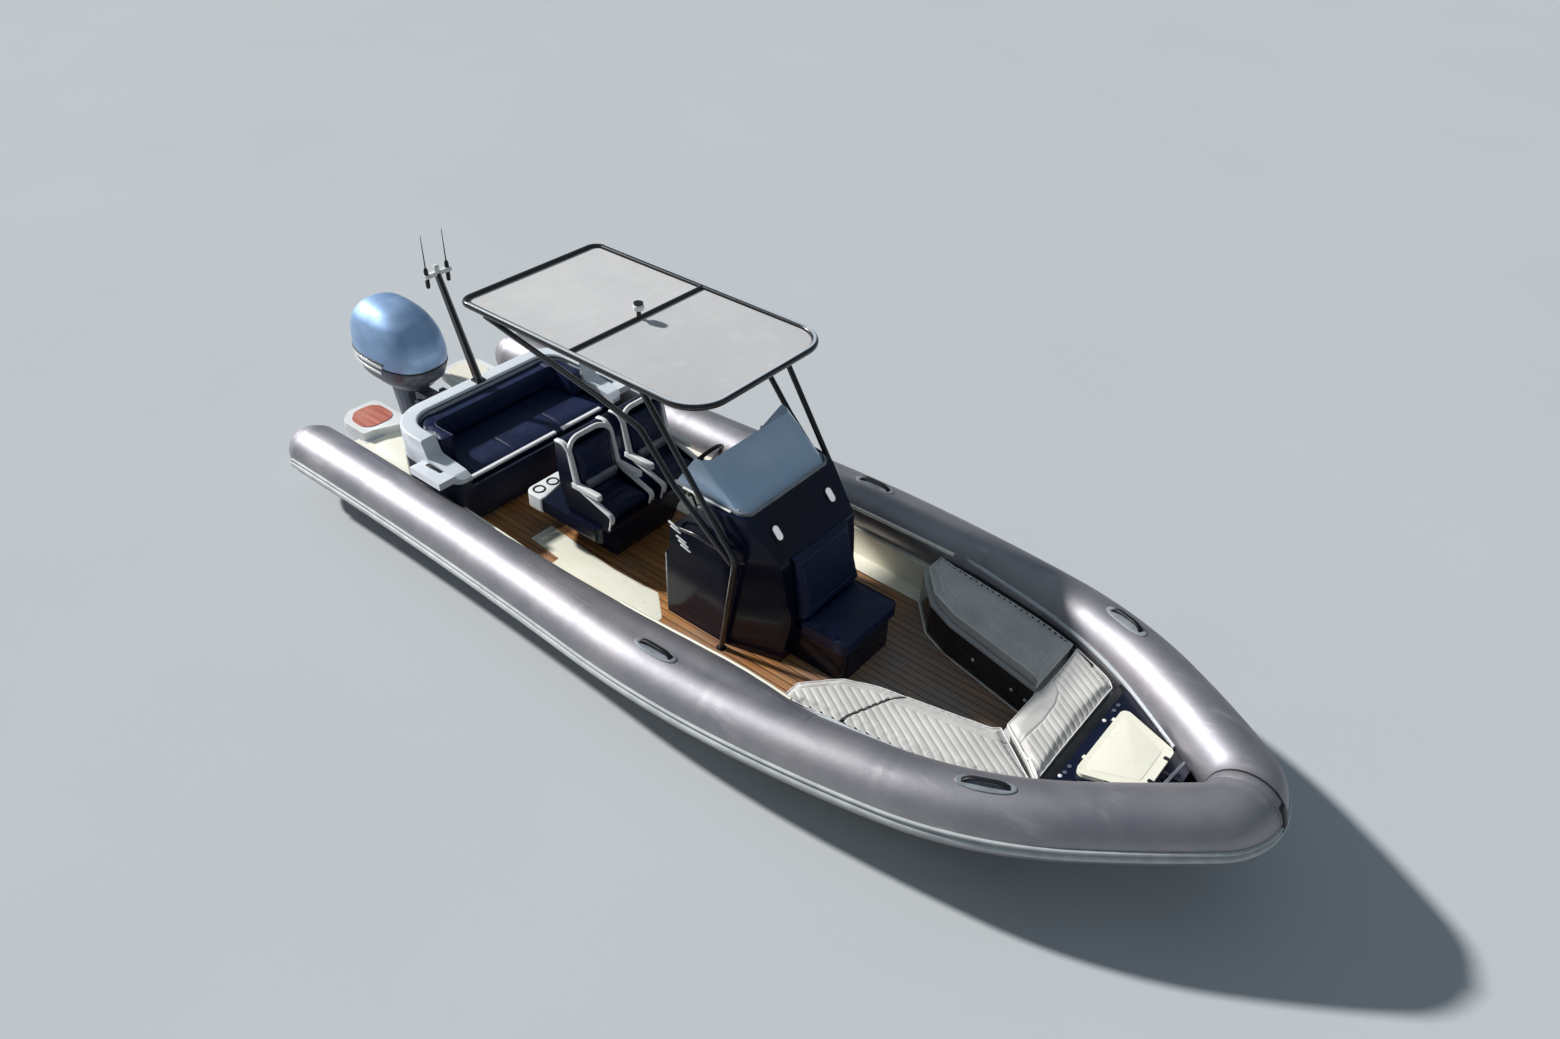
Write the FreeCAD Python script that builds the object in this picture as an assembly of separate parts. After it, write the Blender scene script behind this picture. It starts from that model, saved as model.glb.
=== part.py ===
import FreeCAD, Part
import math
import os
from FreeCAD import Placement, Rotation, Vector

# Rigid inflatable boat, about 8 m, with a T-top, a centre console and one large outboard.
# X runs forward to the bow, Y to port, Z up; the origin is on the waterline at the transom's
# aft face, on the centreline. Lengths are millimetres, angles degrees.

SIZES = {
    # inflated tubes and what is bonded to them
    "TubeRadius": 228,
    "TubeReach": 196,
    "TubeSpread": 1220,
    "TubeSternHeight": 392,
    "TubeRise": 350,
    "TubeCone": 230,
    "StrakeRib": 22,
    "HandleLength": 290,
    "HandleHeight": 46,
    "HandleWidth": 30,
    "HandleGrip": 13,
    # moulded hull and cockpit liner
    "HullLength": 7180,
    "KeelDepth": 360,
    "ChineHalf": 880,
    "RailStep": 18,
    "TransomThick": 60,
    "TransomHeight": 385,
    "FloorBottom": 200,
    "FloorThick": 40,
    "BowStep": 400,
    "BowSill": 520,
    "LinerRim": 470,
    "LinerWall": 55,
    "LinerTuck": 48,
    "Clearance": 0.3,
    # aft deck, swim platforms
    "AftDeckTop": 385,
    "WellHalf": 340,
    "WellLength": 480,
    "WellFloor": 290,
    "PlatformTop": 458,
    "PlatformReach": 400,
    "PlatformLap": 150,
    "PlatformInner": 335,
    "PlatformOuter": 745,
    "PlatformThick": 60,
    "PadThick": 6,
    # bench
    "BenchDepth": 895,
    "BenchHalf": 900,
    "BenchWall": 140,
    "BenchCorner": 340,
    "CoamingTop": 935,
    "CoamingRound": 24,
    "ArmTop": 760,
    "ArmLength": 350,
    "LedgeWidth": 130,
    "SeatPan": 560,
    "CushionThick": 105,
    "BackTop": 900,
    "BackThick": 130,
    # mast with two whips
    "MastInset": 90,
    "MastLean": 355,
    "MastHeight": 865,
    "MastDepth": 96,
    "MastWidth": 54,
    "MastBar": 240,
    "WhipLength": 300,
    # helm pod and seats
    "PodLength": 800,
    "SeatOverhang": 90,
    "PodHalf": 545,
    "PodBaseHalf": 310,
    "PodTop": 640,
    "SeatGap": 100,
    "SeatHalf": 225,
    "SeatShell": 35,
    "SeatBackHeight": 610,
    # console, screen, wheel
    "ConsoleLength": 1000,
    "ConsoleHalf": 515,
    "ConsoleTop": 1390,
    "DashFoot": 1040,
    "DashDepth": 370,
    "ScreenHeight": 278,
    "ScreenSetback": 290,
    "ScreenRake": 348,
    "ScreenHalf": 452,
    "ScreenThick": 6,
    "WheelRadius": 185,
    "WheelGrip": 15,
    "WheelTilt": 30,
    "ColumnLength": 261,
    "ColumnRadius": 24,
    "FrontSeatDepth": 440,
    "FrontSeatHalf": 325,
    "FrontSeatTop": 615,
    "FrontBackHalf": 310,
    "FrontBackHeight": 505,
    "LampHalf": 290,
    "LampHeight": 1245,
    "LampRadius": 34,
    # T-top
    "TopLength": 2310,
    "TopHalf": 695,
    "TopHeight": 2214,
    "TopTube": 25,
    "FrameTube": 21,
    "CanvasThick": 12,
    # bow seats, step and anchor locker
    "BowSeatTop": 520,
    "BowDeckTop": 650,
    "LidLength": 400,
    "LidHalfAft": 345,
    "LidHalfFront": 205,
    "LidThick": 32,
    "LidRim": 30,
    "LockerDepth": 118,
    "HingeRadius": 8,
    "HingePin": 4,
    "HingeLength": 60,
    # towing eyes
    "EyePlate": 12,
    "EyeBore": 13,
    "EyeReach": 34,
    # outboard
    "TiltAhead": 10,
    "TiltHeight": 478,
    "TiltTube": 17,
    "SteerBack": 150,
    "CowlBack": 388,
    "CowlHalfLength": 475,
    "CowlHalfWidth": 312,
    "CowlHeight": 478,
    "SkirtHeight": 240,
    "SkirtBottom": 562,
    "PlateDrop": 240,
    "PropDrop": 450,
    "PropRadius": 185,
    "HubRadius": 55,
    "HubLength": 130,
    "SkegDrop": 625,
}

# Where modules stand along the boat, as shares of HullLength.
STATIONS = {
    "bench": 0.0855,
    "top": 0.2120,
    "pod": 0.2604,
    "console": 0.4624,
    "legs": 0.5446,
    "handle_aft": 0.5492,
    "bow_seat": 0.6546,
    "cockpit_end": 0.8426,
    "handle_fore": 0.8671,
    "bow_seat_end": 0.8942,
    "lid": 0.9040,
    "bow_deck_end": 0.9777,
}

# Centreline of the port tube from the bow to the stern: share of the bow's x, of TubeSpread
# and of TubeRise.
TUBE_LINE = [
    (1.0000, 0.0000, 1.0000),
    (0.9845, 0.1940, 0.9692),
    (0.8989, 0.5634, 0.7814),
    (0.7633, 0.8797, 0.5246),
    (0.6372, 0.9800, 0.3657),
    (0.4474, 1.0000, 0.2391),
    (-0.0203, 0.9062, 0.0157),
]

# Hull sections: share of HullLength, keel height, chine half-beam, chine height,
# side half-beam, side height; heights are shares of KeelDepth, half-beams of ChineHalf.
HULL_SECTIONS = [
    (0.000, -1.00, 0.966, -0.056, 1.085, 0.597),
    (0.362, -1.03, 1.000, 0.000, 1.193, 0.792),
    (0.599, -0.97, 0.966, 0.167, 1.244, 0.917),
    (0.752, -0.69, 0.784, 0.444, 1.125, 1.083),
    (0.877, -0.08, 0.489, 0.917, 0.864, 1.306),
    (0.961, 0.72, 0.193, 1.306, 0.443, 1.500),
    (1.000, 1.33, 0.034, 1.556, 0.125, 1.640),
]

# Spray rails: place of each between keel and chine, as a share of the bottom's width.
RAILS = (0.36, 0.68)

# Footwell between the bow seats: share of HullLength, half-width, corner radius.
FOOTWELL = [
    (0.6546, 800, 0),
    (0.6866, 540, 60),
    (0.7173, 440, 90),
    (0.8287, 260, 40),
]

# Engine cover: height as a share, forward and aft edges as shares of CowlHalfLength,
# half-width as a share of CowlHalfWidth.
COWL_SECTIONS = [
    (0.00, 0.98, -0.97, 0.98),
    (0.15, 0.98, -1.00, 1.00),
    (0.45, 0.89, -0.98, 0.97),
    (0.72, 0.66, -0.88, 0.84),
    (0.91, 0.33, -0.68, 0.60),
    (1.00, 0.00, -0.42, 0.32),
]

doc = FreeCAD.newDocument("InflatableBoat")
sheet = doc.addObject("Spreadsheet::Sheet", "Sizes")
for row, (alias, value) in enumerate(SIZES.items(), start=1):
    sheet.set("A%d" % row, alias)
    sheet.set("B%d" % row, str(value))
    sheet.setAlias("B%d" % row, alias)
doc.recompute()

NODES = []


def size(alias):
    """one driving dimension, read from the sheet"""
    return float(sheet.get(alias))


def station(name):
    """where a module stands along the boat"""
    return STATIONS[name] * size("HullLength")


def node(label, *shapes):
    """one sub-part of the boat, from one solid or from several that belong together"""
    item = doc.addObject("Part::Feature", label)
    item.Label = label
    item.Shape = shapes[0] if len(shapes) == 1 else Part.makeCompound(list(shapes))
    NODES.append(item)


def outline(points):
    """lines and arcs round a closed polygon; a third number in a point rounds its corner"""
    ends = []
    count = len(points)
    for i, point in enumerate(points):
        here = Vector(point[0], point[1], 0)
        back = Vector(*points[i - 1][:2], 0) - here
        on = Vector(*points[(i + 1) % count][:2], 0) - here
        radius = point[2] if len(point) > 2 else 0
        half = back.getAngle(on) / 2
        if radius == 0 or half > math.radians(89.5):
            ends.append((here, None, here))
            continue
        back.normalize()
        on.normalize()
        reach = radius / math.tan(half)
        top = here + (back + on).normalize() * (radius / math.sin(half) - radius)
        ends.append((here + back * reach, top, here + on * reach))
    pieces = []
    for i, (start, top, end) in enumerate(ends):
        if top is not None:
            pieces.append(Part.Arc(start, top, end))
        following = ends[(i + 1) % count][0]
        if (following - end).Length > 1e-6:
            pieces.append(Part.LineSegment(end, following))
    return pieces


def loop_xy(points, z):
    """the outline as a wire in plan at height z"""
    wire = Part.Wire([piece.toShape() for piece in outline(points)])
    wire.translate(Vector(0, 0, z))
    return wire


def prism(points, low, high):
    """a plan outline carried from one height to another"""
    return Part.Face(loop_xy(points, low)).extrude(Vector(0, 0, high - low))


def side_prism(points, left, right):
    """a side profile of x, z points carried across the boat"""
    wire = Part.Wire([piece.toShape() for piece in outline(points)])
    wire.rotate(Vector(0, 0, 0), Vector(1, 0, 0), 90)
    wire.translate(Vector(0, left, 0))
    return Part.Face(wire).extrude(Vector(0, right - left, 0))


def end_prism(points, aft, front):
    """an end profile of y, z points carried along the boat"""
    wire = Part.Wire([piece.toShape() for piece in outline(points)])
    wire.rotate(Vector(0, 0, 0), Vector(1, 0, 0), 90)
    wire.rotate(Vector(0, 0, 0), Vector(0, 0, 1), 90)
    wire.translate(Vector(aft, 0, 0))
    return Part.Face(wire).extrude(Vector(front - aft, 0, 0))


def block(x, y, z):
    """a box from three pairs of limits"""
    return Part.makeBox(x[1] - x[0], y[1] - y[0], z[1] - z[0], Vector(x[0], y[0], z[0]))


def mirrored(shape):
    """the same shape on the other side of the centreline"""
    return shape.mirror(Vector(0, 0, 0), Vector(0, 1, 0))


def rod(start, end, radius):
    """a round bar between two points"""
    return Part.makeCylinder(radius, (end - start).Length, start, end - start)


def bent_tube(points, radius, bend):
    """a round tube along straight runs with one bend radius"""
    edges = []
    last = points[0]
    for i in range(1, len(points) - 1):
        back = (points[i - 1] - points[i]).normalize()
        on = (points[i + 1] - points[i]).normalize()
        half = back.getAngle(on) / 2
        reach = bend / math.tan(half)
        top = points[i] + (back + on).normalize() * (bend / math.sin(half) - bend)
        edges.append(Part.makeLine(last, points[i] + back * reach))
        edges.append(Part.Arc(points[i] + back * reach, top, points[i] + on * reach).toShape())
        last = points[i] + on * reach
    edges.append(Part.makeLine(last, points[-1]))
    disc = Part.Face(Part.Wire([Part.makeCircle(radius, points[0], points[1] - points[0])]))
    return Part.Wire(edges).makePipe(disc)


def fuse(*shapes):
    """one solid from pieces that meet"""
    return shapes[0].multiFuse(list(shapes[1:])).removeSplitter()


def largest(shape):
    """the main solid that a cut leaves"""
    return max(shape.Solids, key=lambda solid: solid.Volume)


def level_edges(shape, z):
    """edges that lie at height z"""
    return [edge for edge in shape.Edges
            if all(abs(v.Z - z) < 1e-3 for v in edge.Vertexes) and abs(edge.CenterOfMass.z - z) < 1e-3]


CLEAR = size("Clearance")
DECK = size("FloorBottom") + size("FloorThick")
BOW = size("HullLength") + size("TubeReach")


# Inflated tubes

def tube_arcs():
    """arcs from the bow aft, each tangent to the one before; the first leaves square"""
    points = [Vector(x * BOW, y * size("TubeSpread"), size("TubeSternHeight") + z * size("TubeRise"))
              for x, y, z in TUBE_LINE]
    arcs = []
    tangent = Vector(0, 1, 0)
    for start, end in zip(points, points[1:]):
        chord = end - start
        normal = tangent.cross(chord).normalize()
        inward = normal.cross(tangent).normalize()
        radius = chord.dot(chord) / (2 * chord.dot(inward))
        turn = math.degrees(2 * math.atan2(chord.dot(inward), chord.dot(tangent)))
        centre = start + inward * radius
        middle = centre + Rotation(normal, turn / 2).multVec(start - centre)
        arcs.append(Part.Arc(start, middle, end))
        tangent = Rotation(normal, turn).multVec(tangent)
    return arcs, points[-1], tangent


ARCS, TUBE_END, TUBE_AIM = tube_arcs()
TUBE_PATH = Part.Wire([arc.toShape() for arc in ARCS])


def tube_at(x):
    """point and forward direction on the port tube's centreline where it passes x"""
    for arc in ARCS:
        low, high = arc.FirstParameter, arc.LastParameter
        if (arc.value(low).x - x) * (arc.value(high).x - x) > 0:
            continue
        for _ in range(40):
            middle = (low + high) / 2
            if (arc.value(low).x - x) * (arc.value(middle).x - x) <= 0:
                high = middle
            else:
                low = middle
        along = Vector(*arc.tangent(low)[0])
        return arc.value(low), along * (1 if along.x > 0 else -1)
    raise ValueError("no tube at %g" % x)


def tube_solid(radius, cone):
    """the port tube: a pipe along the arcs, then a cone and a domed cap at the stern"""
    nose = ARCS[0].value(ARCS[0].FirstParameter)
    pipe = TUBE_PATH.makePipe(Part.Face(Part.Wire([Part.makeCircle(radius, nose, Vector(0, 1, 0))])))
    rim, seam = 0.86 * radius, 0.38 * cone
    dome = (rim ** 2 + (cone - seam) ** 2) / (2 * (cone - seam))
    half = math.asin(rim / dome) / 2
    profile = Part.Wire([
        Part.makeLine(Vector(0, 0, 0), Vector(radius, 0, 0)),
        Part.makeLine(Vector(radius, 0, 0), Vector(rim, 0, seam)),
        Part.Arc(Vector(rim, 0, seam),
                 Vector(dome * math.sin(half), 0, cone - dome + dome * math.cos(half)),
                 Vector(0, 0, cone)).toShape(),
        Part.makeLine(Vector(0, 0, cone), Vector(0, 0, 0)),
    ])
    cap = Part.Face(profile).revolve(Vector(0, 0, 0), Vector(0, 0, 1), 360)
    cap.Placement = Placement(TUBE_END, Rotation(Vector(0, 0, 1), TUBE_AIM))
    return fuse(pipe, cap)


TUBE = tube_solid(size("TubeRadius"), size("TubeCone"))
TUBE_ROOM = tube_solid(size("TubeRadius") + CLEAR, size("TubeCone") + CLEAR)


def clear_of_tubes(shape):
    """cut the tubes and a small gap round them out of a moulding"""
    return shape.cut(TUBE_ROOM).cut(mirrored(TUBE_ROOM))


def inside_tubes(offset, low, high):
    """a prism whose sides run at a distance inside the tubes' centrelines, seen from above"""
    def shifted(arc, parameter):
        point = arc.value(parameter)
        along = Vector(*arc.tangent(parameter)[0])
        inward = Vector(along.y, -along.x, 0).normalize()
        return Vector(point.x, point.y, 0) + (inward if inward.y < 0 else -inward) * offset

    far = 5 * size("TubeSpread")
    run = 0.25 * BOW
    first = shifted(ARCS[1], ARCS[1].FirstParameter)
    along = Vector(*ARCS[1].tangent(ARCS[1].FirstParameter)[0])
    ahead = first + Vector(along.x, along.y, 0) * (run if along.x > 0 else -run)
    pieces = [Part.makeLine(ahead, first)]
    for arc in ARCS[1:]:
        start, end = arc.FirstParameter, arc.LastParameter
        pieces.append(Part.Arc(shifted(arc, start), shifted(arc, (start + end) / 2), shifted(arc, end)).toShape())
    last = shifted(ARCS[-1], ARCS[-1].LastParameter)
    behind = last + Vector(TUBE_AIM.x, TUBE_AIM.y, 0) * run
    corners = [last, behind, Vector(behind.x, -far, 0), Vector(ahead.x, -far, 0), ahead]
    pieces += [Part.makeLine(a, b) for a, b in zip(corners, corners[1:])]
    half = Part.Face(Part.Wire(pieces))
    region = half.common(mirrored(half))
    region.translate(Vector(0, 0, low))
    return region.extrude(Vector(0, 0, high - low))


def strake():
    """a rubber strake along the port tube: a base strip with a narrow and a broad rib"""
    start = ARCS[0].value(ARCS[0].FirstParameter)
    skin = size("TubeRadius") + CLEAR
    rib = size("StrakeRib")
    # angle below the tube's equator, and how far the strake stands out there
    rim = [(-10, 2), (-9, 0.3 * rib), (-8, 0.65 * rib), (-6, 0.65 * rib), (-5, 0.3 * rib), (0, 0.3 * rib),
           (1, rib), (9, rib), (11, 0.3 * rib), (13, 2)]

    def at(angle, out):
        a = math.radians(angle)
        return start + Vector((skin + out) * math.cos(a), 0, -(skin + out) * math.sin(a))

    low, high = rim[0][0], rim[-1][0]
    edges = [Part.makeLine(at(*a), at(*b)) for a, b in zip(rim, rim[1:])]
    edges.append(Part.makeLine(at(*rim[-1]), at(high, 0)))
    edges.append(Part.Arc(at(high, 0), at((low + high) / 2, 0), at(low, 0)).toShape())
    edges.append(Part.makeLine(at(low, 0), at(*rim[0])))
    return TUBE_PATH.makePipe(Part.Face(Part.Wire(edges)))


def handle(name):
    """a moulded grab handle on the port tube: two pads and an arched bar"""
    centre, along = tube_at(station(name))
    half, rise, wide, grip = (size(n) for n in ("HandleLength", "HandleHeight", "HandleWidth", "HandleGrip"))
    half /= 2
    pad, ramp = 0.26 * half, 0.3 * half
    profile = [(-half - pad, -grip), (-half - pad, 8), (-half + ramp / 3, 10), (-half + ramp, rise, 14),
               (half - ramp, rise, 14), (half - ramp / 3, 10), (half + pad, 8), (half + pad, -grip),
               (half - pad, -grip), (half - ramp, rise - grip), (-half + ramp, rise - grip), (-half + pad, -grip)]
    shape = side_prism(profile, -wide / 2, wide / 2)
    up = (Vector(0, 0, 1) - along * along.z).normalize()
    shape.Placement = Placement(centre + up * size("TubeRadius"), Rotation(along, Vector(0, 0, 0), up, "XZY"))
    return largest(shape.cut(TUBE_ROOM)) if rise > grip else shape


# Moulded hull and liner

def hull_half(section):
    """half of a hull section from the keel out to the side, as y, z pairs"""
    _, keel_z, chine_y, chine_z, side_y, side_z = section
    deep, beam = size("KeelDepth"), size("ChineHalf")
    step = size("RailStep")
    half = [(0, keel_z * deep)]
    for share in RAILS:
        y = share * chine_y * beam
        z = (keel_z + share * (chine_z - keel_z)) * deep
        fade = min(1.0, chine_y / 0.5)
        half += [(y, z - 0.5 * step * fade), (y + 1.6 * step * fade, z - 0.3 * step * fade)]
    half += [(chine_y * beam, chine_z * deep), (chine_y * beam * (1 + 0.05 * chine_y), chine_z * deep + 4)]
    return half + [(side_y * beam, side_z * deep)]


def hull():
    """a deep-V hull as a ruled loft, opened for the cockpit and the bow fittings"""
    wires = []
    for section in HULL_SECTIONS:
        half = hull_half(section)
        points = [Vector(section[0] * size("HullLength"), y, z) for y, z in half]
        points += [Vector(p.x, -p.y, p.z) for p in reversed(points[1:])]
        wires.append(Part.makePolygon(points + points[:1]))
    shell = Part.makeLoft(wires, True, True)
    wide, tall = 2 * size("ChineHalf"), 3 * size("KeelDepth") + size("TransomHeight")
    # openings from above: where each starts and ends, and how deep it goes
    for start, end, floor in ((-10, station("cockpit_end"), size("FloorBottom")),
                              (station("cockpit_end") - 1, station("bow_seat_end"), size("BowStep")),
                              (station("bow_seat_end") - 1, BOW, size("BowSill"))):
        shell = shell.cut(block((start, end), (-wide, wide), (floor, tall)))
    transom = prism([(0, -size("ChineHalf")), (size("TransomThick"), -size("ChineHalf")),
                     (size("TransomThick"), size("ChineHalf")), (0, size("ChineHalf"))], 0, size("TransomHeight"))
    return largest(clear_of_tubes(fuse(shell, transom)))


def liner():
    """the cockpit floor with a low wall against each tube"""
    outer = inside_tubes(size("TubeRadius") - size("LinerTuck"), size("FloorBottom"), size("LinerRim"))
    inner = inside_tubes(size("TubeRadius") + size("LinerWall"), DECK, size("LinerRim") + 10)
    wide = 2 * size("TubeSpread")
    room = block((size("TransomThick"), station("cockpit_end")), (-wide, wide), (0, size("LinerRim") + 10))
    return largest(clear_of_tubes(outer.common(room).cut(inner)))


def inside_liner(low, high, start, end, gap=CLEAR):
    """a prism that fills the cockpit between the liner's walls over a stretch of the boat"""
    wide = 2 * size("TubeSpread")
    shape = inside_tubes(size("TubeRadius") + size("LinerWall") + gap, low, high)
    return shape.common(block((start, end), (-wide, wide), (low - 1, high + 1)))


def aft_deck():
    """the low deck behind the bench, with the open well for the engine"""
    start = size("TransomThick")
    deck = inside_liner(DECK, size("AftDeckTop"), start, station("bench") + 80)
    well = prism([(start - 10, -size("WellHalf")), (start + size("WellLength"), -size("WellHalf"), 60),
                  (start + size("WellLength"), size("WellHalf"), 60), (start - 10, size("WellHalf"))],
                 size("WellFloor"), size("AftDeckTop") + 10)
    return largest(clear_of_tubes(deck.cut(well)))


def platform():
    """a moulded swim step on the port side that laps the transom and tapers underneath"""
    top, thick = size("PlatformTop"), size("PlatformThick")
    inner, outer, reach, lap = (size(n) for n in ("PlatformInner", "PlatformOuter", "PlatformReach", "PlatformLap"))
    width = outer - inner
    low = top - 4 * thick
    plan = prism([(-0.02 * reach, inner), (lap, inner, 20), (0.75 * lap, inner + 0.25 * width, 60),
                  (0.12 * lap, inner + 0.75 * width, 60), (0.05 * lap, outer, 10), (-0.72 * reach, outer, 90),
                  (-reach, outer - 0.3 * width, 90), (-reach, inner, 70)], low, top)
    under = side_prism([(lap + 10, top), (-reach, top), (-reach, top - thick), (-0.5 * reach, top - 1.5 * thick),
                        (-CLEAR, low), (-CLEAR, size("AftDeckTop") + CLEAR), (lap + 10, size("AftDeckTop") + CLEAR)],
                       inner - 10, outer + 10)
    return clear_of_tubes(plan.common(under))


def platform_pad():
    """the non-slip pad let onto the swim step, an oval that follows its edges"""
    inner, outer, reach = size("PlatformInner"), size("PlatformOuter"), size("PlatformReach")
    top = size("PlatformTop")
    return prism([(-0.06 * reach, inner + 40, 110), (-0.06 * reach, outer - 50, 110),
                  (-0.62 * reach, outer - 60, 110), (-0.86 * reach, outer - 150, 90), (-0.86 * reach, inner + 40, 110)],
                 top + CLEAR, top + size("PadThick"))


# Bench and mast

def bench_shell():
    """the aft bench moulding: high coaming round the back, lower arms, a seat pan"""
    aft, half, wall, corner = station("bench"), size("BenchHalf"), size("BenchWall"), size("BenchCorner")
    front = aft + size("BenchDepth")
    top, arm, pan = size("CoamingTop"), size("ArmTop"), size("SeatPan")
    step = front - size("ArmLength")
    body = prism([(aft, -half, corner), (front, -half, 90), (front, half, 90), (aft, half, corner)], DECK, top)
    profile = side_prism([(aft - 10, DECK), (aft - 10, top + 10), (step - 60, top + 10), (step, arm + 30, 40),
                          (front - 60, arm, 60), (front + 10, arm - 40), (front + 10, DECK + 120),
                          (front - 60, DECK + 90), (front - 60, DECK)], -half - 10, half + 10)
    seat_room = prism([(aft + wall, -half + wall, corner - wall), (front + 20, -half + wall),
                       (front + 20, half - wall), (aft + wall, half - wall, corner - wall)], pan, top + 20)
    shell = body.common(profile).cut(seat_room)
    shell = shell.makeFillet(size("CoamingRound"), level_edges(shell, top))
    lip = block((front - 32, front), (-half + wall, half - wall), (pan - 5, pan + 65))
    shell = fuse(shell, lip)
    ledges = [block((step - 59, front - 49), tuple(sorted((side * (half - 25), side * (half + size("LedgeWidth"))))),
                    (arm - 60, arm)) for side in (-1, 1)]
    shell = fuse(shell, *ledges)
    rim = size("LinerRim") + 1
    low = shell.common(inside_liner(DECK, rim, 0, front + 10, 2))
    high = shell.common(block((0, front + 10), (-2 * half, 2 * half), (rim, top + 10)))
    return largest(clear_of_tubes(fuse(low, high)).cut(aft_deck()))


def bench_plan(inset, front):
    """half-open plan inside the bench walls: aft and side limits for its cushions"""
    edge = size("BenchHalf") - size("BenchWall") - inset
    aft = station("bench") + size("BenchWall") + inset
    corner = size("BenchCorner") - size("BenchWall") - inset
    return edge, aft, [(aft, -edge, corner), (front, -edge, 30), (front, edge, 30), (aft, edge, corner)]


def bench_seat():
    """the seat cushion on its pan"""
    low = size("SeatPan") + CLEAR
    _, _, plan = bench_plan(6, station("bench") + size("BenchDepth") - 38)
    return prism(plan, low, low + size("CushionThick"))


def bench_back():
    """the backrest that wraps round into both corners"""
    thick = size("BackThick")
    front = station("bench") + size("BenchDepth") - size("ArmLength") + 10
    edge, aft, plan = bench_plan(6, front)
    hollow = [(aft + thick, -edge + thick, 60), (front + 10, -edge + thick), (front + 10, edge - thick),
              (aft + thick, edge - thick, 60)]
    low = size("SeatPan") + size("CushionThick") + 2 * CLEAR
    return prism(plan, low, size("BackTop")).cut(prism(hollow, low - 1, size("BackTop") + 1))


def mast():
    """a raked flat mast on the coaming with a cross bar and two whip aerials"""
    foot = Vector(station("bench") + size("MastInset"), 0, size("CoamingTop") + CLEAR)
    top = foot + Vector(-size("MastLean"), 0, size("MastHeight"))
    deep, wide = size("MastDepth") / 2, size("MastWidth") / 2
    wires = [Part.makePolygon([end + Vector(x * deep * share, y * wide * share, 0) for x, y in
                               ((-1, 0), (-0.6, -1), (0.6, -1), (1, 0), (0.6, 1), (-0.6, 1), (-1, 0))])
             for end, share in ((foot, 1.0), (top, 0.75))]
    plate = prism([(foot.x - deep - 4, -48, 16), (foot.x + deep, -48, 16), (foot.x + deep, 48, 16),
                   (foot.x - deep - 4, 48, 16)], foot.z, foot.z + 10)
    arm = size("MastBar") / 2
    bar = block((top.x - 22, top.x + 22), (-arm, arm), (top.z - 14, top.z + 10))
    pieces = [Part.makeLoft(wires, True, True), plate, bar]
    for side in (-1, 1):
        socket = Vector(top.x, side * (arm - 18), top.z)
        pieces += [Part.makeCylinder(12, 50, socket),
                   Part.makeCone(6, 2.5, size("WhipLength"), socket + Vector(0, 0, 45))]
    return fuse(*pieces)


# Helm

def pod():
    """the moulded box that carries both helm seats, on a narrower foot"""
    start, half, foot = station("pod"), size("PodHalf"), size("PodBaseHalf")
    end = start + size("PodLength")
    plan = prism([(start, -half, 70), (end, -half, 70), (end, half, 70), (start, half, 70)], DECK, size("PodTop"))
    side = side_prism([(start + 60, DECK), (start, DECK + 130), (start, size("PodTop") - 40), (start + 50, size("PodTop")),
                       (end, size("PodTop")), (end, DECK + 130), (end - 60, DECK)], -half - 10, half + 10)
    flare = end_prism([(-foot, DECK - 10), (-foot, DECK + 180, 60), (-half, DECK + 280, 40), (-half, size("PodTop") + 10),
                       (half, size("PodTop") + 10), (half, DECK + 280, 40), (foot, DECK + 180, 60), (foot, DECK - 10)],
                      start - 10, end + 10)
    return plan.common(side).common(flare)


def helm_seat(side):
    """a bucket shell and its cushion on one side of the pod"""
    front = station("pod") + size("PodLength") + size("SeatOverhang")
    half, wall = size("SeatHalf"), size("SeatShell")
    middle = side * (half + size("SeatGap") / 2)
    low = size("PodTop") + CLEAR
    top = low + size("SeatBackHeight")
    lower = low + 150
    shell_side = [(front - 430, low), (front, low, 30), (front + 30, lower, 40), (front - 60, lower + 25, 60),
                  (front - 330, lower + 110, 120), (front - 400, top - 60, 60), (front - 455, top, 40),
                  (front - 540, top - 10, 30), (front - 520, lower + 80, 60), (front - 470, low + 60, 60)]
    room_side = [(front - 400, low + 60, 60), (front + 40, low + 60), (front + 40, top + 60),
                 (front - 470, top + 60), (front - 455, top - 40), (front - 430, lower + 80, 60)]
    cushion_side = [(front - 395, low + 62, 50), (front - 4, low + 62, 50), (front - 2, lower + 15, 45),
                    (front - 300, lower + 15, 60), (front - 352, top - 30, 40), (front - 440, top - 34, 40),
                    (front - 424, lower + 82, 60)]
    shell = side_prism(shell_side, middle - half, middle + half)
    shell = shell.cut(side_prism(room_side, middle - half + wall, middle + half - wall))
    return shell, side_prism(cushion_side, middle - half + wall + 2, middle + half - wall - 2)


# The console's dash runs from its top edge down and aft to its foot.
CONSOLE_END = station("console") + size("ConsoleLength")
DASH_FOOT = Vector(station("console") + 70, 0, size("DashFoot"))
DASH_HEAD = Vector(DASH_FOOT.x + size("DashDepth"), 0, size("ConsoleTop") + 10)
DASH_DOWN = (DASH_FOOT - DASH_HEAD).normalize()
DASH_OUT = Vector(DASH_DOWN.z, 0, -DASH_DOWN.x)


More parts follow.
